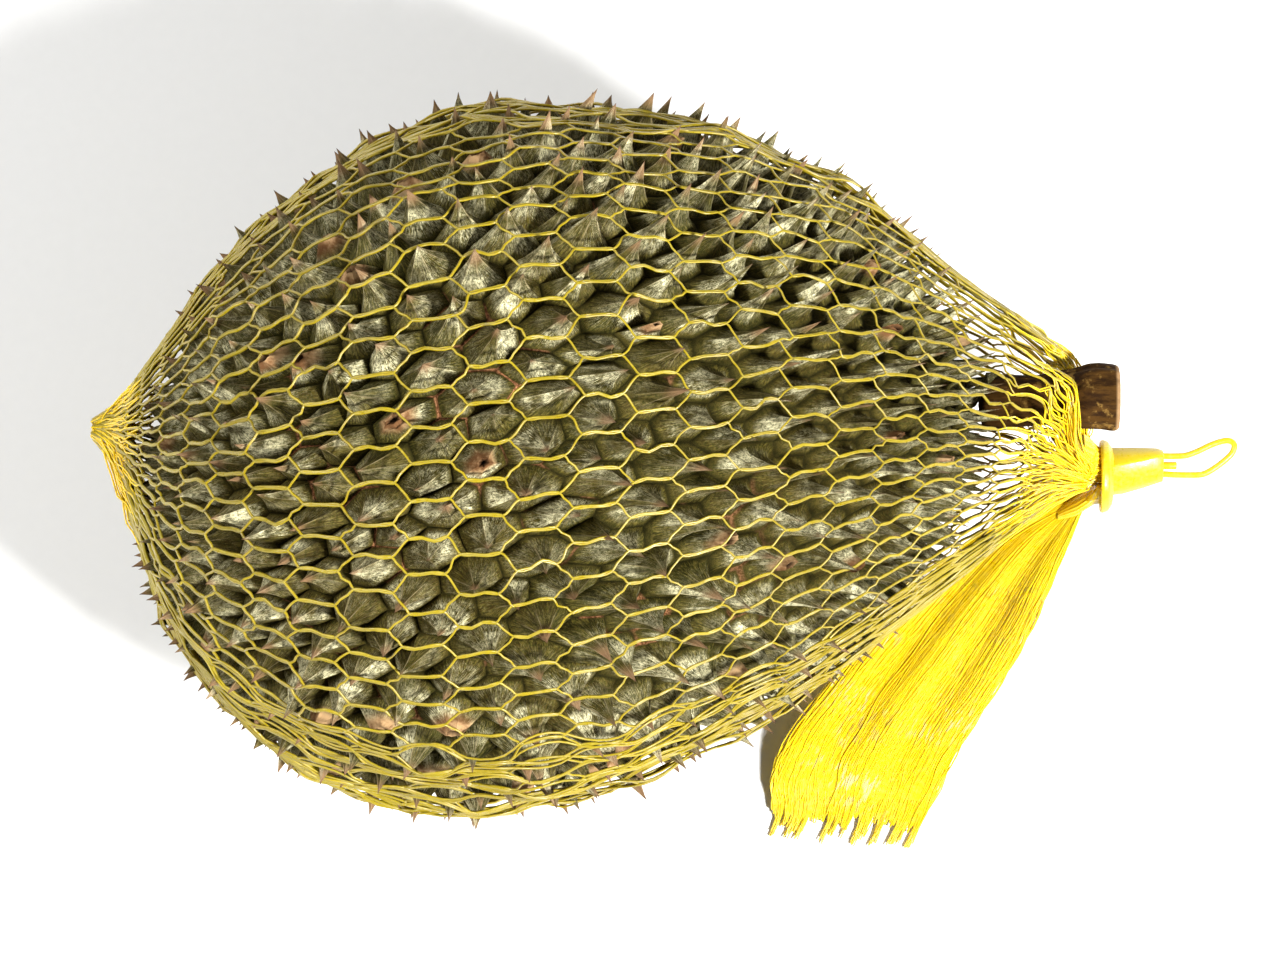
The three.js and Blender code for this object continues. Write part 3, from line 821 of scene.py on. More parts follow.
# %% [markdown]
# ## Drawing the net tight
#
# Each strand gets two points between its ends, and the long runs to the clip get fourteen.
# Each point keeps a list of its neighbours, and whether it starts above the stalk or below.

# %% Points along the strands
INNER = 2
NECK_INNER = 14
START_SPREAD = 0.5
inner_of = {}
neck_nodes = set(neck_node_of.values())
net_points, net_axis = list(net_nodes), list(net_middles)
links = []
for one, two in strands:
    chain = [one]
    inner_count = NECK_INNER if two in neck_nodes else INNER
    for k in range(1, inner_count + 1):
        share = k / (inner_count + 1)
        chain.append(len(net_points))
        net_points.append(net_nodes[one] * (1 - share) + net_nodes[two] * share)
        net_axis.append(net_middles[one] * (1 - share) + net_middles[two] * share)
    chain.append(two)
    inner_of[one, two] = chain[1:-1]
    links.extend(zip(chain[:-1], chain[1:]))
net_points, net_axis = np.array(net_points), np.array(net_axis)
beside = [[] for _ in net_points]
for one, two in links:
    beside[one].append(two)
    beside[two].append(one)
loose = np.array([len(b) > 1 for b in beside])
padded = np.array([(b + [i] * 3)[:3] for i, b in enumerate(beside)])
weights = np.array([len(b) for b in beside], dtype=float)
own_share = 3 - weights
start_arm = net_points - net_axis
start_turn = np.arctan2(start_arm[:, 2], start_arm[:, 1])
over_stem = np.sin(start_turn - STEM_OPENING_TURN) > 0
net_draw = np.random.default_rng(17)
net_points[loose] += net_draw.normal(0, START_SPREAD, (loose.sum(), 3))
print("net points:", len(net_points), "links:", len(links))

# %% [markdown]
# Over and over, every point moves toward its neighbours, as tension pulls it, and a little
# inward. Points that end up in a spine slide out along its side. Those over the stalk rise
# above it, those under it sink below it, and all stay off the table. Strands so catch on
# the spines, whose tips poke out through the meshes.

# %% Settle the net
HUSK_GAP = 0.15
STEM_GAP = 1.9
FLOOR_GAP = 0.1
SETTLE_STEPS = 300
TENSION = 0.85
INWARD = 0.03


def drape_on_stem(where, room):
    arm, beside_it = off_stem_axis(where)
    across_it = beside_it & (np.abs(arm[:, 1]) < room)
    half_height = np.sqrt(np.maximum(room**2 - arm[:, 1] ** 2, 0))
    above = np.maximum(arm[:, 2], half_height)
    below = np.minimum(arm[:, 2], -half_height)
    change = np.where(across_it, np.where(over_stem, above, below) - arm[:, 2], 0)
    return where + change[:, None] * [0, 0, 1]


def clear_all(where):
    where = lift_off_husk(where, STRAND_RADIUS + HUSK_GAP)
    where = drape_on_stem(where, STEM_ROOM + STEM_GAP)
    where[:, 2] = np.maximum(where[:, 2], STRAND_RADIUS + FLOOR_GAP)
    return where


for step in range(SETTLE_STEPS):
    pull = (net_points[padded].sum(axis=1) - own_share[:, None] * net_points) / weights[:, None] - net_points
    inward = unit(net_axis - net_points)
    moved = net_points + TENSION * pull + INWARD * inward
    moved = np.where(loose[:, None], moved, net_points)
    net_points = np.where(loose[:, None], clear_all(moved), net_points)
print("last pull:", np.abs(pull[loose]).max().round(2), "mm")

# %% [markdown]
# The net was pulled askew on the stalk's side, so its bonded stretches lie across the
# strands there. Both ends of each are moved along the girth, one each way.

# %% Skew of the net
SHEAR = 0.9
SHEAR_SPREAD = 0.6
LEAST_SHEAR = 0.12
starts = np.array(list(node_of.values()))
stem_half = np.clip(net_points[starts, 0] / 60, LEAST_SHEAR, 1)
stem_side = np.clip((net_points[starts, 1] + 15) / 40, LEAST_SHEAR, 1)
shear_part = SHEAR * stem_half * stem_side * (1 + net_draw.normal(0, SHEAR_SPREAD, len(starts)))
round_way = unit(np.cross(net_points[starts] - net_axis[starts], [1.0, 0, 0]))
skew = np.zeros_like(net_points)
skew[starts] -= shear_part[:, None] * round_way
skew[starts + 1] += shear_part[:, None] * round_way
for (one, two), inner in inner_of.items():
    for k, index in enumerate(inner, start=1):
        share = k / (len(inner) + 1)
        skew[index] = skew[one] * (1 - share) + skew[two] * share
net_points = clear_all(net_points + skew)

# %% [markdown]
# Strands are never quite straight: each gets a slight bow. Past the last knots they run on
# to the clip by themselves, and those on the stalk's side are held out by it in an arch.

# %% Bows, and the runs to the clip
BOW_SPREAD = 0.35
STEM_BULGE = 10.0
SHOULDER_X = 104.0
COLLAR_X = 149.0
ARCH_FROM_Y = 2
ARCH_FULL_Y = 18
EASE_STEPS = 120
LAST_EASE_STEPS = 4
bow = np.zeros_like(net_points)
for (one, two), inner in inner_of.items():
    line = net_points[two] - net_points[one]
    sideways = unit(np.cross(line, net_points[one] - net_axis[one]))
    size = np.clip(np.linalg.norm(line) / 10, 0, 1.2)
    arc, wave = net_draw.normal(0, BOW_SPREAD, 2) * size
    for k, index in enumerate(inner, start=1):
        share = k / (len(inner) + 1)
        bow[index] = sideways * (arc * math.sin(math.pi * share) + wave * math.sin(2 * math.pi * share))
net_points = clear_all(clear_all(net_points + bow))
neck_inner = [index for (_, two), inner in inner_of.items() if two in neck_nodes for index in inner]


def ease_neck(where, times):
    for _ in range(times):
        both_sides = where[padded[neck_inner]].sum(axis=1) - where[neck_inner]
        where[neck_inner] += 0.9 * (both_sides / 2 - where[neck_inner])
        where = clear_all(where)
    return where


net_points = ease_neck(net_points, EASE_STEPS)
past_shoulder = np.clip((net_points[:, 0] - SHOULDER_X) / (COLLAR_X - SHOULDER_X), 0, 1)
stem_side = np.clip((net_points[:, 1] - ARCH_FROM_Y) / (ARCH_FULL_Y - ARCH_FROM_Y), 0, 1)
held_out = np.sin(math.pi * past_shoulder**2) * stem_side * loose
net_points += (STEM_BULGE * held_out)[:, None] * [1.0, 0.2, 0.0]
net_points = ease_neck(clear_all(net_points), LAST_EASE_STEPS)
print("net spans", net_points.min(axis=0).round(1), "to", net_points.max(axis=0).round(1))

# %% [markdown]
# ## Strands of the bag
#
# Each strand is one long thin tube. In a bonded stretch two of them lie side by side.
# At the blind end all of them gather in a tuft, and at the stalk they run into the clip.

# %% Strand curves
BOND_OFFSET = 0.17
tube_draw = np.random.default_rng(29)


def smooth_line(line, finer):
    return through(line, np.linspace(0, 1, (len(line) - 1) * finer + 1))


def on_ring(station, angle, swell=1.0):
    x, y, z, half_width, half_height = station
    return [x, y + half_width * swell * math.cos(angle), z + half_height * swell * math.sin(angle)]


def end_run(angle, stations):
    return [on_ring(station, angle) for station in stations]


def strand_line(line):
    path = []
    for ring in range(RINGS):
        column = column_at(line, ring)
        start = node_of[ring, column]
        chain = [start] + inner_of[start, start + 1] + [start + 1]
        side = 1 if column == line else -1
        stretch = net_points[chain]
        way = unit(stretch[-1] - stretch[0])
        sideways = unit(np.cross(way, unit(stretch[0] - net_axis[start])))
        path.extend(stretch - side * BOND_OFFSET * sideways)
        if ring + 1 < RINGS:
            following = node_of[ring + 1, column_at(line, ring + 1)]
            path.extend(net_points[inner_of[start + 1, following]])
    tuft_angle = line / COLUMNS * 2 * math.pi + tube_draw.normal(0, 0.1)
    tight = tube_draw.uniform(0.6, 1.05)
    tuft = end_run(tuft_angle, [
        [-133.4 + tube_draw.normal(0, 0.8), 7.5, 95, 2.6 * tight, 2.6 * tight],
        [-130.5, 6.6, 95, 6.2 * tight, 6.2 * tight],
    ])
    last_joint = start + 1
    path.extend(net_points[inner_of[last_joint, neck_node_of[line]]])
    path.append(net_points[neck_node_of[line]])
    last = path[-1] - BAG_STATIONS[-1, :3]
    neck_angle = math.atan2(last[2], last[1])
    neck = end_run(neck_angle, [
        [152.2, -1.2, 81.4, 4.9, 7.4],
        [156.5, -1.4, 80.3, 3.6, 6.6],
    ])
    return np.array(tuft + path + neck)


bag_lines = [smooth_line(strand_line(line), 2) for line in range(COLUMNS)]
print("strands of the bag:", len(bag_lines), "points each:", len(bag_lines[0]))

# %% [markdown]
# A curve with a round bevel gives each line its thickness, and is then made a mesh. Where
# the net is gathered, short branches of the same lines make the heap of strands dense.

# %% Tubes along the lines
NECK_RADIUS = 0.22
GATHER_RADIUS = 0.28
STRAND_WIDTHS = ([-80, -40, 20, 60, 118, 130], [1.12, 1.0, 0.9, 0.8, 0.85, 0.72])


def tubes(name, lines, radius, sides_level, width_at=None):
    curve = bpy.data.curves.new(name, "CURVE")
    curve.dimensions = "3D"
    curve.bevel_depth = radius * MM
    curve.bevel_resolution = sides_level
    curve.use_fill_caps = True
    for line in lines:
        spline = curve.splines.new("POLY")
        spline.points.add(len(line) - 1)
        where = np.concatenate([to_frame(line), np.ones((len(line), 1))], axis=1)
        spline.points.foreach_set("co", where.ravel())
        if width_at is not None:
            spline.points.foreach_set("radius", np.interp(line[:, 0], *width_at))
    obj = bpy.data.objects.new(name, curve)
    bpy.context.collection.objects.link(obj)
    pick(obj)
    bpy.ops.object.convert(target="MESH")
    obj = bpy.context.object
    bpy.ops.object.shade_smooth()
    count_triangles(obj)
    return obj


def branch(line, share, spread):
    part = line[-int(len(line) * share):]
    ramp = np.clip(np.linspace(0, 2.5, len(part)), 0, 1)[:, None]
    end = np.clip(np.linspace(6, 0, len(part)), 0.35, 1)[:, None]
    return part + tube_draw.normal(0, spread, 3) * ramp * end


neck_lines = [branch(line, tube_draw.uniform(0.12, 0.2), 1.1) for line in bag_lines * 3]
gather_lines = [branch(line[::-1], tube_draw.uniform(0.04, 0.09), 0.8) for line in bag_lines * 2]
bag_upper = tubes("net_bag_upper", bag_lines[: COLUMNS // 2], STRAND_RADIUS, 0, STRAND_WIDTHS)
bag_lower = tubes("net_bag_lower", bag_lines[COLUMNS // 2:], STRAND_RADIUS, 0, STRAND_WIDTHS)
bag_neck = tubes("net_bag_neck", neck_lines, NECK_RADIUS, 0)
bag_gather = tubes("net_bag_gather", gather_lines, GATHER_RADIUS, 0)

# %% [markdown]
# ## Slack of the bag
#
# The bag is wider than the fruit. Its slack lies bunched along both sides, most of it on
# the side of the folded end, and there strands run two and three deep. Copies of the side
# strands, moved a few millimetres round the girth and laid on the spines again, stand for
# these folds.

# %% Bunched strands
SLACK_COPIES = 2
SLACK_BAND = 52.0
SLACK_BAND_FAR = 33.0
SLACK_SWAY = 2.3
SLACK_PASSES = 3
SLACK_ROOM = 0.9
SLACK_RADIUS = 0.38
SLACK_FROM_X = -130
SLACK_TO_X = 118
WAIST_REACH = 80
slack_lines = []
for line in bag_lines:
    path = line[::2]
    waist = path[np.abs(path[:, 0]) < WAIST_REACH]
    band = SLACK_BAND if waist[:, 1].mean() < 0 else SLACK_BAND_FAR
    if np.median(np.abs(waist[:, 2] - AXIS_HEIGHT)) > band:
        continue
    from_axis = path - vectors(path[:, 0], 0, AXIS_HEIGHT)
    round_way = unit(np.cross(from_axis, [1.0, 0, 0]))
    ends = np.clip(np.minimum(path[:, 0] - SLACK_FROM_X, SLACK_TO_X - path[:, 0]) / 20, 0, 1)
    for _ in range(SLACK_COPIES):
        phase = tube_draw.uniform(0, 2 * math.pi, 2)
        sway = SLACK_SWAY * (np.sin(path[:, 0] / 37 + phase[0]) + 0.4 * np.sin(path[:, 0] / 14 + phase[1]))
        fold = path + (sway * ends)[:, None] * round_way
        for _ in range(SLACK_PASSES):
            fold = lift_off_husk(fold, SLACK_ROOM)
            fold[1:-1] = 0.5 * fold[1:-1] + 0.25 * (fold[:-2] + fold[2:])
            fold[:, 2] = np.maximum(fold[:, 2], STRAND_RADIUS + FLOOR_GAP)
        slack_lines.append(fold)
bag_slack = tubes("net_bag_slack", slack_lines, SLACK_RADIUS, 0)

# %% [markdown]
# ## Cores of the gathers
#
# Where the strands crowd, a ribbed core stands for those inside, so that the gathers are
# dense and nothing shows through them.

# %% Gather cores


def skin_over(name, ring_points, sides):
    ring_faces = []
    for start in range(0, len(ring_points) - sides, sides):
        for side in range(sides):
            here, beyond = start + side, start + (side + 1) % sides
            ring_faces.append((here, beyond, beyond + sides, here + sides))
    ring_faces.append(tuple(range(sides))[::-1])
    ring_faces.append(tuple(range(len(ring_points) - sides, len(ring_points))))
    return mesh_piece(name, ring_points, ring_faces)


def loft(name, stations, sides, ribs):
    ring_points = []
    for station in stations:
        for side in range(sides):
            ring_points.append(on_ring(station, side / sides * 2 * math.pi, 1 + ribs * (side % 2)))
    return skin_over(name, ring_points, sides)


gather_core = loft("net_gather_core", [
    [-133, 7.4, 95, 1.6, 1.6],
    [-131.8, 7, 95, 3.6, 3.6],
    [-129.4, 6, 95, 6.4, 6.4],
    [-127.4, 5, 95, 8.2, 8.2],
    [-126, 5, 95, 7.0, 7.0],
], 40, 0.07)
neck_core = loft("net_neck_core", [
    [147, 0.6, 86.6, 3.5, 3.5],
    [148.5, 0.4, 86, 6.0, 6.2],
    [150.5, -0.4, 83.4, 5.8, 7.0],
    [153, -1.2, 80.8, 4.4, 6.9],
    [157, -1.2, 80.2, 3.4, 6.2],
], 40, 0.06)

# %% [markdown]
# ## The folded-back end of the net
#
# Past the clip the net is folded back and comes out of the collar beside the neck. It is a
# flat, dense fan: three layers of strands that crowd together, with ragged cut ends that
# lie on the table.

# %% Tail strands
STEM_SIDE = np.array([[149, -13.6, 75], [143, -29, 62], [132, -54, 38], [115, -82, 12], [104, -105, 0.9]])
FRUIT_SIDE = np.array([[142, -12.5, 70.5], [117, -22, 56], [84, -54, 25], [63, -82, 8], [60, -101, 0.9]])
TAIL_LINES = 540
TAIL_STEPS = 30
TAIL_RADIUS = 0.22
TAIL_RIPPLE = 1.3
TAIL_TUFTS = 24
TAIL_SPREAD = 0.012
LAYER_GAP = 0.8
ZIGZAG = 0.011
ZIGZAGS = 5.5
TUFT_FROM = 0.86
TUFT_LENGTH = 0.14
tail_draw = np.random.default_rng(41)
tuft_edges = np.linspace(0, 1, TAIL_TUFTS + 1)
tuft_edges[1:-1] += tail_draw.uniform(-0.3, 0.3, TAIL_TUFTS - 1) / TAIL_TUFTS
tuft_reach = tail_draw.uniform(-0.045, 0.045, TAIL_TUFTS + 1)


def on_fan(share, spread):
    return through(STEM_SIDE, share) * (1 - spread) + through(FRUIT_SIDE, share) * spread


def ripple(hang, spread):
    return TAIL_RIPPLE * hang**2 * np.sin(spread * 5 * math.pi)


def tail_line(index):
    layer = index % 3 / 2
    across = (index + 0.5) / TAIL_LINES
    tuft = int(np.searchsorted(tuft_edges, across))
    tuft_middle = (tuft_edges[tuft - 1] + tuft_edges[tuft]) / 2
    reach = 1.0 + tuft_reach[tuft] + tail_draw.normal(0.0, TAIL_SPREAD)
    share = np.linspace(0, reach, TAIL_STEPS)
    wander = tail_draw.normal(0, TAIL_SPREAD)
    wander = wander * np.sin(share * tail_draw.uniform(4, 9) + tail_draw.uniform(0, 6))
    zigzag = ZIGZAG * np.sin(share * 2 * math.pi * ZIGZAGS + (index // 2 % 2) * math.pi)
    spread = across + (wander + zigzag) * np.clip(share * 3, 0, 1)
    in_tuft = np.clip((share - TUFT_FROM) / TUFT_LENGTH, 0, 1)
    spread = spread + (tuft_middle - spread) * 0.5 * in_tuft
    spread = np.clip(spread, -0.02, 1.02)[:, None]
    line = on_fan(share, spread)
    over = np.clip(share - 1, 0, None)[:, None]
    line = line + over * (STEM_SIDE[-1] - STEM_SIDE[-2]) * [4, 4, 0]
    hang = np.sin(math.pi * np.clip(share, 0, 1))
    line[:, 2] += ripple(hang, spread[:, 0]) + (layer - 0.5) * LAYER_GAP * hang
    line[:, 2] += tail_draw.normal(0, 0.12)
    line[:, 2] = np.maximum(line[:, 2], 0.5)
    angle = math.pi * 2 * across
    root = end_run(angle, [
        [156.5, -9.6, 79.8, 2.2, 6.2],
        [152.6, -9.9, 79.4, 2.8, 6.8],
    ])
    return smooth_line(np.array(root + list(line)), 1)


tail = tubes("net_tail_strands", [tail_line(i) for i in range(TAIL_LINES)], TAIL_RADIUS, 0)

# %% [markdown]
# A thin sheet among the strands closes the gaps between them, so that the fan is dense.
# It has two faces and a rim, so it is a closed solid.

# %% Tail sheet
WEB_ALONG, WEB_ACROSS = 44, 60
WEB_LENGTH = 0.9
WEB_HALF_THICKNESS = 0.3
web_points, web_faces = [], []
for side in (-1, 1):
    for i in range(WEB_ALONG + 1):
        share = WEB_LENGTH * i / WEB_ALONG
        for j in range(WEB_ACROSS + 1):
            spread = 0.03 + 0.94 * j / WEB_ACROSS
            spot = on_fan(share, spread)
            spot[2] += ripple(math.sin(math.pi * share), spread) + side * WEB_HALF_THICKNESS
            web_points.append(spot)
across_count = WEB_ACROSS + 1
layer_count = len(web_points) // 2
for i in range(WEB_ALONG):
    for j in range(WEB_ACROSS):
        a = i * across_count + j
        quad = (a, a + 1, a + across_count + 1, a + across_count)
        web_faces.append(tuple(layer_count + k for k in quad))
        web_faces.append(quad[::-1])
border = list(range(across_count))
border += [i * across_count + WEB_ACROSS for i in range(1, WEB_ALONG + 1)]
border += [WEB_ALONG * across_count + j for j in range(WEB_ACROSS - 1, -1, -1)]
border += [i * across_count for i in range(WEB_ALONG - 1, 0, -1)]
for here, beyond in zip(border, border[1:] + border[:1]):
    web_faces.append((here, beyond, layer_count + beyond, layer_count + here))
tail_web = mesh_piece("net_tail_web", web_points, web_faces)
face_outward(tail_web)
smooth(tail_web, 50)
tail_core = loft("net_tail_core", [
    [141.8, -15.2, 69.8, 1.6, 1.2],
    [147, -13, 73.6, 2.8, 3.2],
    [151, -10.6, 77, 2.7, 4.6],
    [153, -9.7, 79.4, 2.5, 6.4],
    [157, -9.6, 79.8, 2.3, 5.8],
], 32, 0.06)

# %% [markdown]
# ## Yellow plastic of the net
#
# The strands are drawn polyethylene: deep yellow, a little see-through and softly shiny.
# Where they are heaped, light goes from strand to strand and the yellow is brighter.

# %% Shared plastic look


def plastic_look():
    group = bpy.data.node_groups.new("yellow_plastic", "ShaderNodeTree")
    for side, kind, names in (
        ("INPUT", "Color", ("Deep", "Clear", "Painted_highlight")),
        ("INPUT", "Float", ("Grain",)),
        ("OUTPUT", "Color", ("Tone",)),
        ("OUTPUT", "Float", ("Roughness", "Scuffs")),
    ):
        for name in names:
            group.interface.new_socket(name=name, in_out=side, socket_type="NodeSocket" + kind)
    given = group.nodes.new("NodeGroupInput").outputs
    place = place_in(group)
    shade = noise(place, 30.0)
    fine = noise(place, given["Grain"], 2.0)
    tone = blend(steps(shade, 0.3, 0.7), given["Deep"], given["Clear"])
    # Painted highlight: paler flecks of the third colour are blended in along the fine grain.
    tone = blend(steps(fine, 0.5, 0.75, 0.0, 0.35), tone, given["Painted_highlight"])
    results = group.nodes.new("NodeGroupOutput")
    set_up(results, {"Tone": tone, "Roughness": steps(fine, 0.3, 0.7, 0.26, 0.45), "Scuffs": fine})
    return group


yellow_plastic = plastic_look()


# The worn colour is a painted highlight, flecked over the plastic along its grain.
def plastic_material(name, deep, clear, worn, grain, scuff_depth):
    material, tree, plastic = new_material(name)
    values = {"Deep": (*deep, 1), "Clear": (*clear, 1), "Painted_highlight": (*worn, 1), "Grain": grain}
    look = add(tree, "ShaderNodeGroup", values, node_tree=yellow_plastic).outputs
    set_up(plastic, {
        "Base Color": look["Tone"],
        "Roughness": look["Roughness"],
        "Normal": bumps(look["Scuffs"], 0.3, scuff_depth * MM),
        "Subsurface Weight": 0.2,
        "Subsurface Radius": (1.0, 0.7, 0.1),
        "Subsurface Scale": 0.002,
    })
    return material, tree, plastic, look["Tone"]


# %% [markdown]
# The heaped strands of the tail part here and there. In the gaps between them a paler tone
# lies in some places, and painted shade, a deeper orange, lies in others. Their pattern is
# stretched along the tail.

# %% Net plastics
# The third colour of each plastic is its painted highlight.
single_strands = plastic_material(
    "net_plastic", (0.245, 0.180, 0.006), (0.32, 0.24, 0.009), (0.41, 0.33, 0.05), 700.0, 0.1)[0]
heaped_strands, tree, plastic, tone = plastic_material(
    "net_plastic_heaped", (0.76, 0.47, 0.003), (0.88, 0.60, 0.005), (0.92, 0.70, 0.06), 700.0, 0.1)
place = place_in(tree)
along_tail = mapped(place, "Rotation", (0.0, 0.0, math.radians(-62)))
stretched = mapped(along_tail, "Scale", (0.13, 1.0, 0.4))
parted = steps(noise(stretched, 1100.0, 2.0), 0.52, 0.62)
parted = times(parted, steps(noise(place, 45.0, 2.0), 0.46, 0.62, 0.0, 0.75))
shade_and_pale_place = steps(noise(place, 28.0), 0.42, 0.58)
# Painted shade: the deeper orange tone darkens some gaps between the tail's strands.
gap_shade_and_pale_tone = blend(shade_and_pale_place, (0.42, 0.26, 0.006, 1), (0.66, 0.57, 0.26, 1))
set_up(plastic, {"Base Color": blend(parted, tone, gap_shade_and_pale_tone)})
dress([bag_upper, bag_lower, bag_slack], single_strands, "net_bag")
dress([bag_neck, bag_gather, gather_core, neck_core], heaped_strands, "net_bag")
dress([tail, tail_web, tail_core], heaped_strands, "net_tail")

# %% [markdown]
# ## Stalk
#
# A short, thick, woody stalk that swells toward its cut end. A disc is extruded along it
# ring by ring, and each ring is scaled to its own size.

# %% Stalk piece
STEM_RINGS = [
    (117.6, 14.0, 99.4, 8.4),
    (124.0, 14.8, 99.4, 7.8),
    (131.0, 15.3, 99.7, 7.4),
    (138.0, 15.8, 100.0, 7.4),
    (143.0, 16.1, 100.2, 7.8),
    (146.5, 16.3, 100.3, 9.0),
    (149.5, 16.4, 100.4, 9.7),
    (154.0, 16.4, 100.4, 9.8),
    (156.6, 16.4, 100.4, 9.7),
    (157.7, 16.4, 100.4, 8.9),
    (157.9, 16.4, 100.4, 7.9),
    (157.4, 16.4, 100.4, 6.8),
    (157.3, 16.4, 100.4, 3.2),
]


def turned_piece(name, rings, sides, flatten=1.0):
    deselect()
    x, y, z, radius = rings[0]
    bpy.ops.mesh.primitive_circle_add(
        vertices=sides, radius=radius * MM, fill_type="NGON",
        location=tuple(to_frame([x, y, z])), rotation=(0, math.pi / 2, 0),
    )
    piece = bpy.context.object
    piece.name = name
    bpy.ops.object.transform_apply(location=True, rotation=True, scale=True)
    bpy.ops.object.mode_set(mode="EDIT")
    bpy.ops.mesh.select_all(action="SELECT")
    for before, after in zip(rings[:-1], rings[1:]):
        move = (np.array(after[:3]) - np.array(before[:3])) * MM
        bpy.ops.mesh.extrude_region_move(TRANSFORM_OT_translate={"value": tuple(move)})
        size = after[3] / before[3]
        bpy.ops.transform.resize(value=(1, size, size), center_override=tuple(to_frame(after[:3])))
    bpy.ops.mesh.select_all(action="SELECT")
    if flatten != 1.0:
        bpy.ops.transform.resize(value=(1, 1, flatten), center_override=tuple(to_frame(rings[0][:3])))
    bpy.ops.mesh.normals_make_consistent(inside=False)
    bpy.ops.object.mode_set(mode="OBJECT")
    return piece


stem = turned_piece("stem_wood", STEM_RINGS, 48, 0.96)

# %% [markdown]
# Bark isn't smooth: ribs run along the stalk, and low lumps swell between them. So the
# turned piece is made finer, and its points on the bark are moved in and out.

# %% Relief of the bark
RIB_HEIGHT = 0.2
LUMP_HEIGHT = 0.22
BARK_SINK = 0.25
CUT_FACE_RADIUS = 6
pick(stem)
subdivide = stem.modifiers.new("finer", "SUBSURF")
subdivide.levels = 2
bpy.ops.object.modifier_apply(modifier="finer")
where = np.zeros(len(stem.data.vertices) * 3)
stem.data.vertices.foreach_get("co", where)
where = where.reshape(-1, 3) / MM - SHIFT
arm = where - [0, 15.8, 100.2]
arm[:, 0] = 0
turn_here = np.arctan2(arm[:, 2], arm[:, 1])
on_bark = np.clip((np.linalg.norm(arm, axis=1) - CUT_FACE_RADIUS) / 1.5, 0, 1)
ribs = np.sin(turn_here * 11 + 0.12 * where[:, 0]) + 0.7 * np.sin(turn_here * 17 + 1 - 0.2 * where[:, 0])
lumps = np.sin(turn_here * 3 + where[:, 0] * 0.23) + np.sin(where[:, 0] * 0.55 + turn_here)
offset = on_bark * (RIB_HEIGHT * ribs + LUMP_HEIGHT * lumps - BARK_SINK)
where = where + unit(arm) * offset[:, None]
stem.data.vertices.foreach_set("co", to_frame(where).astype(np.float32).ravel())
smooth(stem, 50)

# %% [markdown]
# ## Stalk material
#
# Bark is brown, with paler corky streaks along it. The cut end is tan wood that darkens
# toward its middle.

# %% Bark and wood
bark, tree, wood = new_material("stem_bark")
place = place_in(tree)
streaks = noise(mapped(place, "Scale", (0.25, 1, 1)), 420.0, 4.0, 0.65)
cork = noise(place, 260.0, 4.0, 0.65)
tone = blend(steps(streaks, 0.35, 0.65), (0.017, 0.0065, 0.001, 1), (0.056, 0.025, 0.004, 1))
tone = blend(steps(cork, 0.56, 0.7), tone, (0.17, 0.095, 0.022, 1))
end_x = float(to_frame([156.9, 0, 0])[0])
on_end = steps(parts_of(place)[0], end_x - 0.0006, end_x + 0.0003)
cut_middle = tuple(to_frame([157.3, 16.4, 100.4]))
from_middle = add(tree, "ShaderNodeVectorMath", {0: place, 1: cut_middle}, operation="DISTANCE")
rings_of_cut = plus(from_middle.outputs["Value"], times(cork, 0.0016))
toward_rim = steps(rings_of_cut, 0.0025, 0.0085)
cut_tone = blend(toward_rim, (0.075, 0.040, 0.016, 1), (0.26, 0.155, 0.070, 1))
cut_tone = blend(steps(cork, 0.5, 0.66, 0.0, 0.5), cut_tone, (0.34, 0.22, 0.11, 1))
tone = blend(on_end, tone, cut_tone)
relief = bumps(plus(streaks, times(cork, 0.5)), 0.8, 0.0008)
set_up(wood, {"Base Color": tone, "Roughness": 0.85, "Specular IOR Level": 0.08, "Normal": relief})
dress([stem], bark, "stem")

# %% [markdown]
# ## Clip
#
# The clip is one moulding of yellow plastic. A thin round collar grips the bunched net,
# a strap with a fold down its length stands out from it, and a flat loop ends it.

# %% Collar and strap
COLLAR_RADIUS = 10.6
COLLAR_WALL = 1.7
COLLAR_LENGTH = 3.4
cx, cy, cz = COLLAR
inner = COLLAR_RADIUS - COLLAR_WALL
collar = turned_piece("clip_collar", [
    (cx + 2.0, cy, cz, 2.0),
    (cx + 2.0, cy, cz, inner - 1.5),
    (cx, cy, cz, inner),
    (cx - 0.2, cy, cz, COLLAR_RADIUS - 0.5),
    (cx + 0.6, cy, cz, COLLAR_RADIUS),
    (cx + COLLAR_LENGTH - 1.2, cy, cz, COLLAR_RADIUS - 0.6),
    (cx + COLLAR_LENGTH, cy, cz, COLLAR_RADIUS - 2.4),
    (cx + COLLAR_LENGTH + 0.3, cy, cz, 5.0),
], 64)


def soften(piece, width):
    pick(piece)
    bevel = piece.modifiers.new("soft edges", "BEVEL")
    bevel.width = width * MM
    bevel.segments = 3
    bevel.limit_method = "ANGLE"
    bevel.angle_limit = math.radians(25)
    bpy.ops.object.modifier_apply(modifier="soft edges")
    smooth(piece, 35)


soften(collar, 0.3)

STRAP_RINGS = [
    (155.8, 3.3, -2.9, -10.6, 7.2),
    (160.0, 3.4, -2.0, -10.1, 7.0),
    (166.0, 3.3, -0.7, -8.4, 6.2),
    (169.6, 3.2, 0.3, -7.2, 5.2),
    (171.6, 2.6, 0.6, -6.6, 4.4),
]


def strap_section(upper, ridge, lower, height):
    return [
        (upper, -0.15 * height), (upper - 0.2, 0.25 * height), (0.55 * upper + 0.45 * ridge, 0.72 * height),
        (ridge, height), (0.55 * ridge + 0.45 * lower, 0.78 * height), (lower + 0.9, 0.3 * height),
        (lower, -0.1 * height), (0.7 * lower + 0.3 * upper, -0.8 * height),
        (0.7 * upper + 0.3 * lower, -0.8 * height),
    ]


strap_points = []
for x, *section in STRAP_RINGS:
    strap_points.extend((x, y, cz + z) for y, z in strap_section(*section))
strap = skin_over("clip_strap", strap_points, len(strap_points) // len(STRAP_RINGS))
face_outward(strap)
soften(strap, 0.45)

# %% [markdown]
# The loop is a rod bent to a flat drop. Its far end turns back in a narrow bow. A small
# peg stands in it, left where the plastic entered the mould.

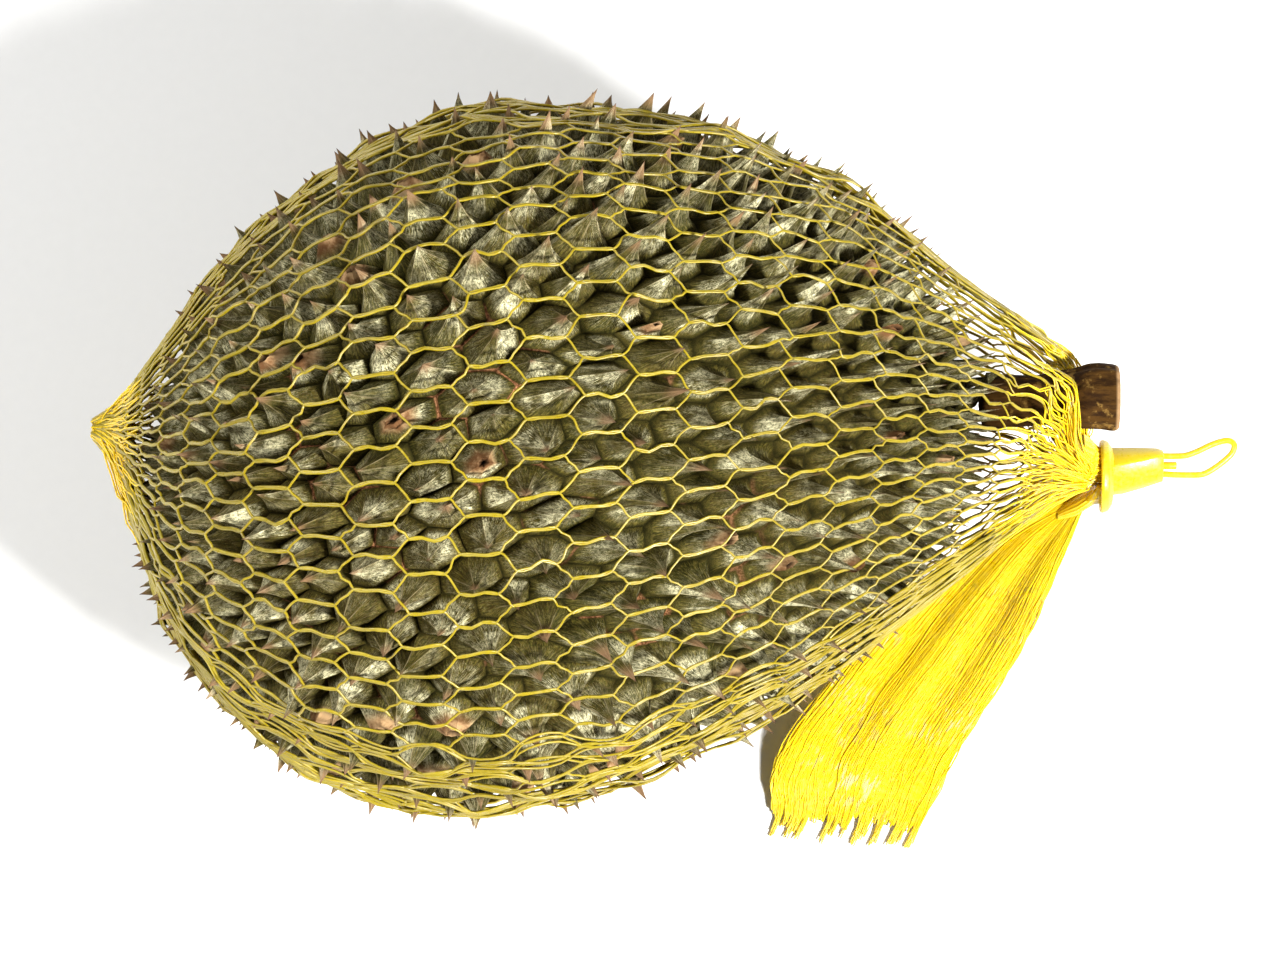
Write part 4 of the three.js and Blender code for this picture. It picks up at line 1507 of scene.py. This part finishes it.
# %% Loop and peg
LOOP_RADIUS = 0.9
LOOP_BENDS = [
    (170.4, 0.9), (174, 0.8), (178, 1.0), (181.5, 2.2), (185.3, 4.0), (188.6, 5.1),
    (190.8, 5.2), (192.1, 4.0), (191.6, 2.0), (190.0, 0.2), (187.0, -2.2), (183.8, -4.1),
    (181.4, -4.6), (177, -4.6), (174, -4.5), (170.2, -4.3),
]
loop = tubes("clip_loop", [smooth_line(np.array([[x, y, cz] for x, y in LOOP_BENDS]), 5)], LOOP_RADIUS, 4)
bpy.ops.mesh.primitive_cylinder_add(
    vertices=24, radius=1.1 * MM, depth=4.4 * MM,
    location=tuple(to_frame([173.3, -1.9, cz])), rotation=(0, math.pi / 2, 0),
)
peg = bpy.context.object
peg.name = "clip_peg"
bpy.ops.object.transform_apply(location=True, rotation=True, scale=True)
soften(peg, 0.3)

# %% [markdown]
# The clip is moulded from the same yellow plastic as the net is drawn from, so it uses the
# same shader group, a little paler and with coarser scuffs.

# %% Clip plastic
# The third colour is the clip's painted highlight.
clip_plastic = plastic_material(
    "clip_plastic", (0.58, 0.42, 0.006), (0.68, 0.51, 0.012), (0.76, 0.62, 0.09), 900.0, 0.2)[0]
dress([collar, strap, loop, peg], clip_plastic, "clip")

# %% [markdown]
# ## Stage
#
# A plain pale floor, a strong soft light from the stalk's side and a weaker, wider one
# across from it. Light from the side brings out the spines. The floor isn't part of the
# object.

# %% Floor and lights
bpy.ops.mesh.primitive_plane_add(size=4.0)
floor = bpy.context.object
floor.name = "floor"
floor_material, tree, surface = new_material("floor_paper")
paper = blend(noise(place_in(tree), 260.0), (0.80, 0.80, 0.79, 1), (0.83, 0.83, 0.82, 1))
set_up(surface, {"Base Color": paper, "Roughness": 0.7})
floor.data.materials.append(floor_material)

world = bpy.data.worlds.new("studio")
bpy.context.scene.world = world
world.use_nodes = True
set_up(world.node_tree.nodes["Background"], {"Color": (1.0, 0.99, 0.97, 1), "Strength": 0.15})


def soft_light(name, where, size, power, aim=(0.0, 0.0, 0.09)):
    bpy.ops.object.light_add(type="AREA", location=where)
    light = bpy.context.object
    light.name = name
    light.data.size = size
    light.data.energy = power
    light.rotation_euler = (Vector(aim) - Vector(where)).to_track_quat("-Z", "Y").to_euler()


soft_light("key", (1.6, -1.1, 2.35), 0.5, 245.0)
soft_light("fill", (-1.2, 0.3, 1.3), 1.0, 34.0)
bpy.context.scene.view_settings.view_transform = "Standard"

# %% [markdown]
# The camera looks almost straight down on the fruit, from a distance that keeps its
# proportions free of perspective swelling.

# %% Camera
VIEW_ELEVATION = math.radians(86)
DISTANCE = 2.2
VIEW_WIDTH = 0.365
SENSOR = 36
bpy.ops.object.camera_add()
camera = bpy.context.object
aim = Vector(to_frame([21.4, -7.1, 95.0]))
backward = Vector((0, -math.cos(VIEW_ELEVATION), math.sin(VIEW_ELEVATION)))
camera.location = aim + backward * DISTANCE
camera.rotation_euler = (-backward).to_track_quat("-Z", "Y").to_euler()
camera.data.sensor_width = SENSOR
camera.data.lens = SENSOR * DISTANCE / VIEW_WIDTH
camera.data.clip_start = 0.05
bpy.context.scene.camera = camera
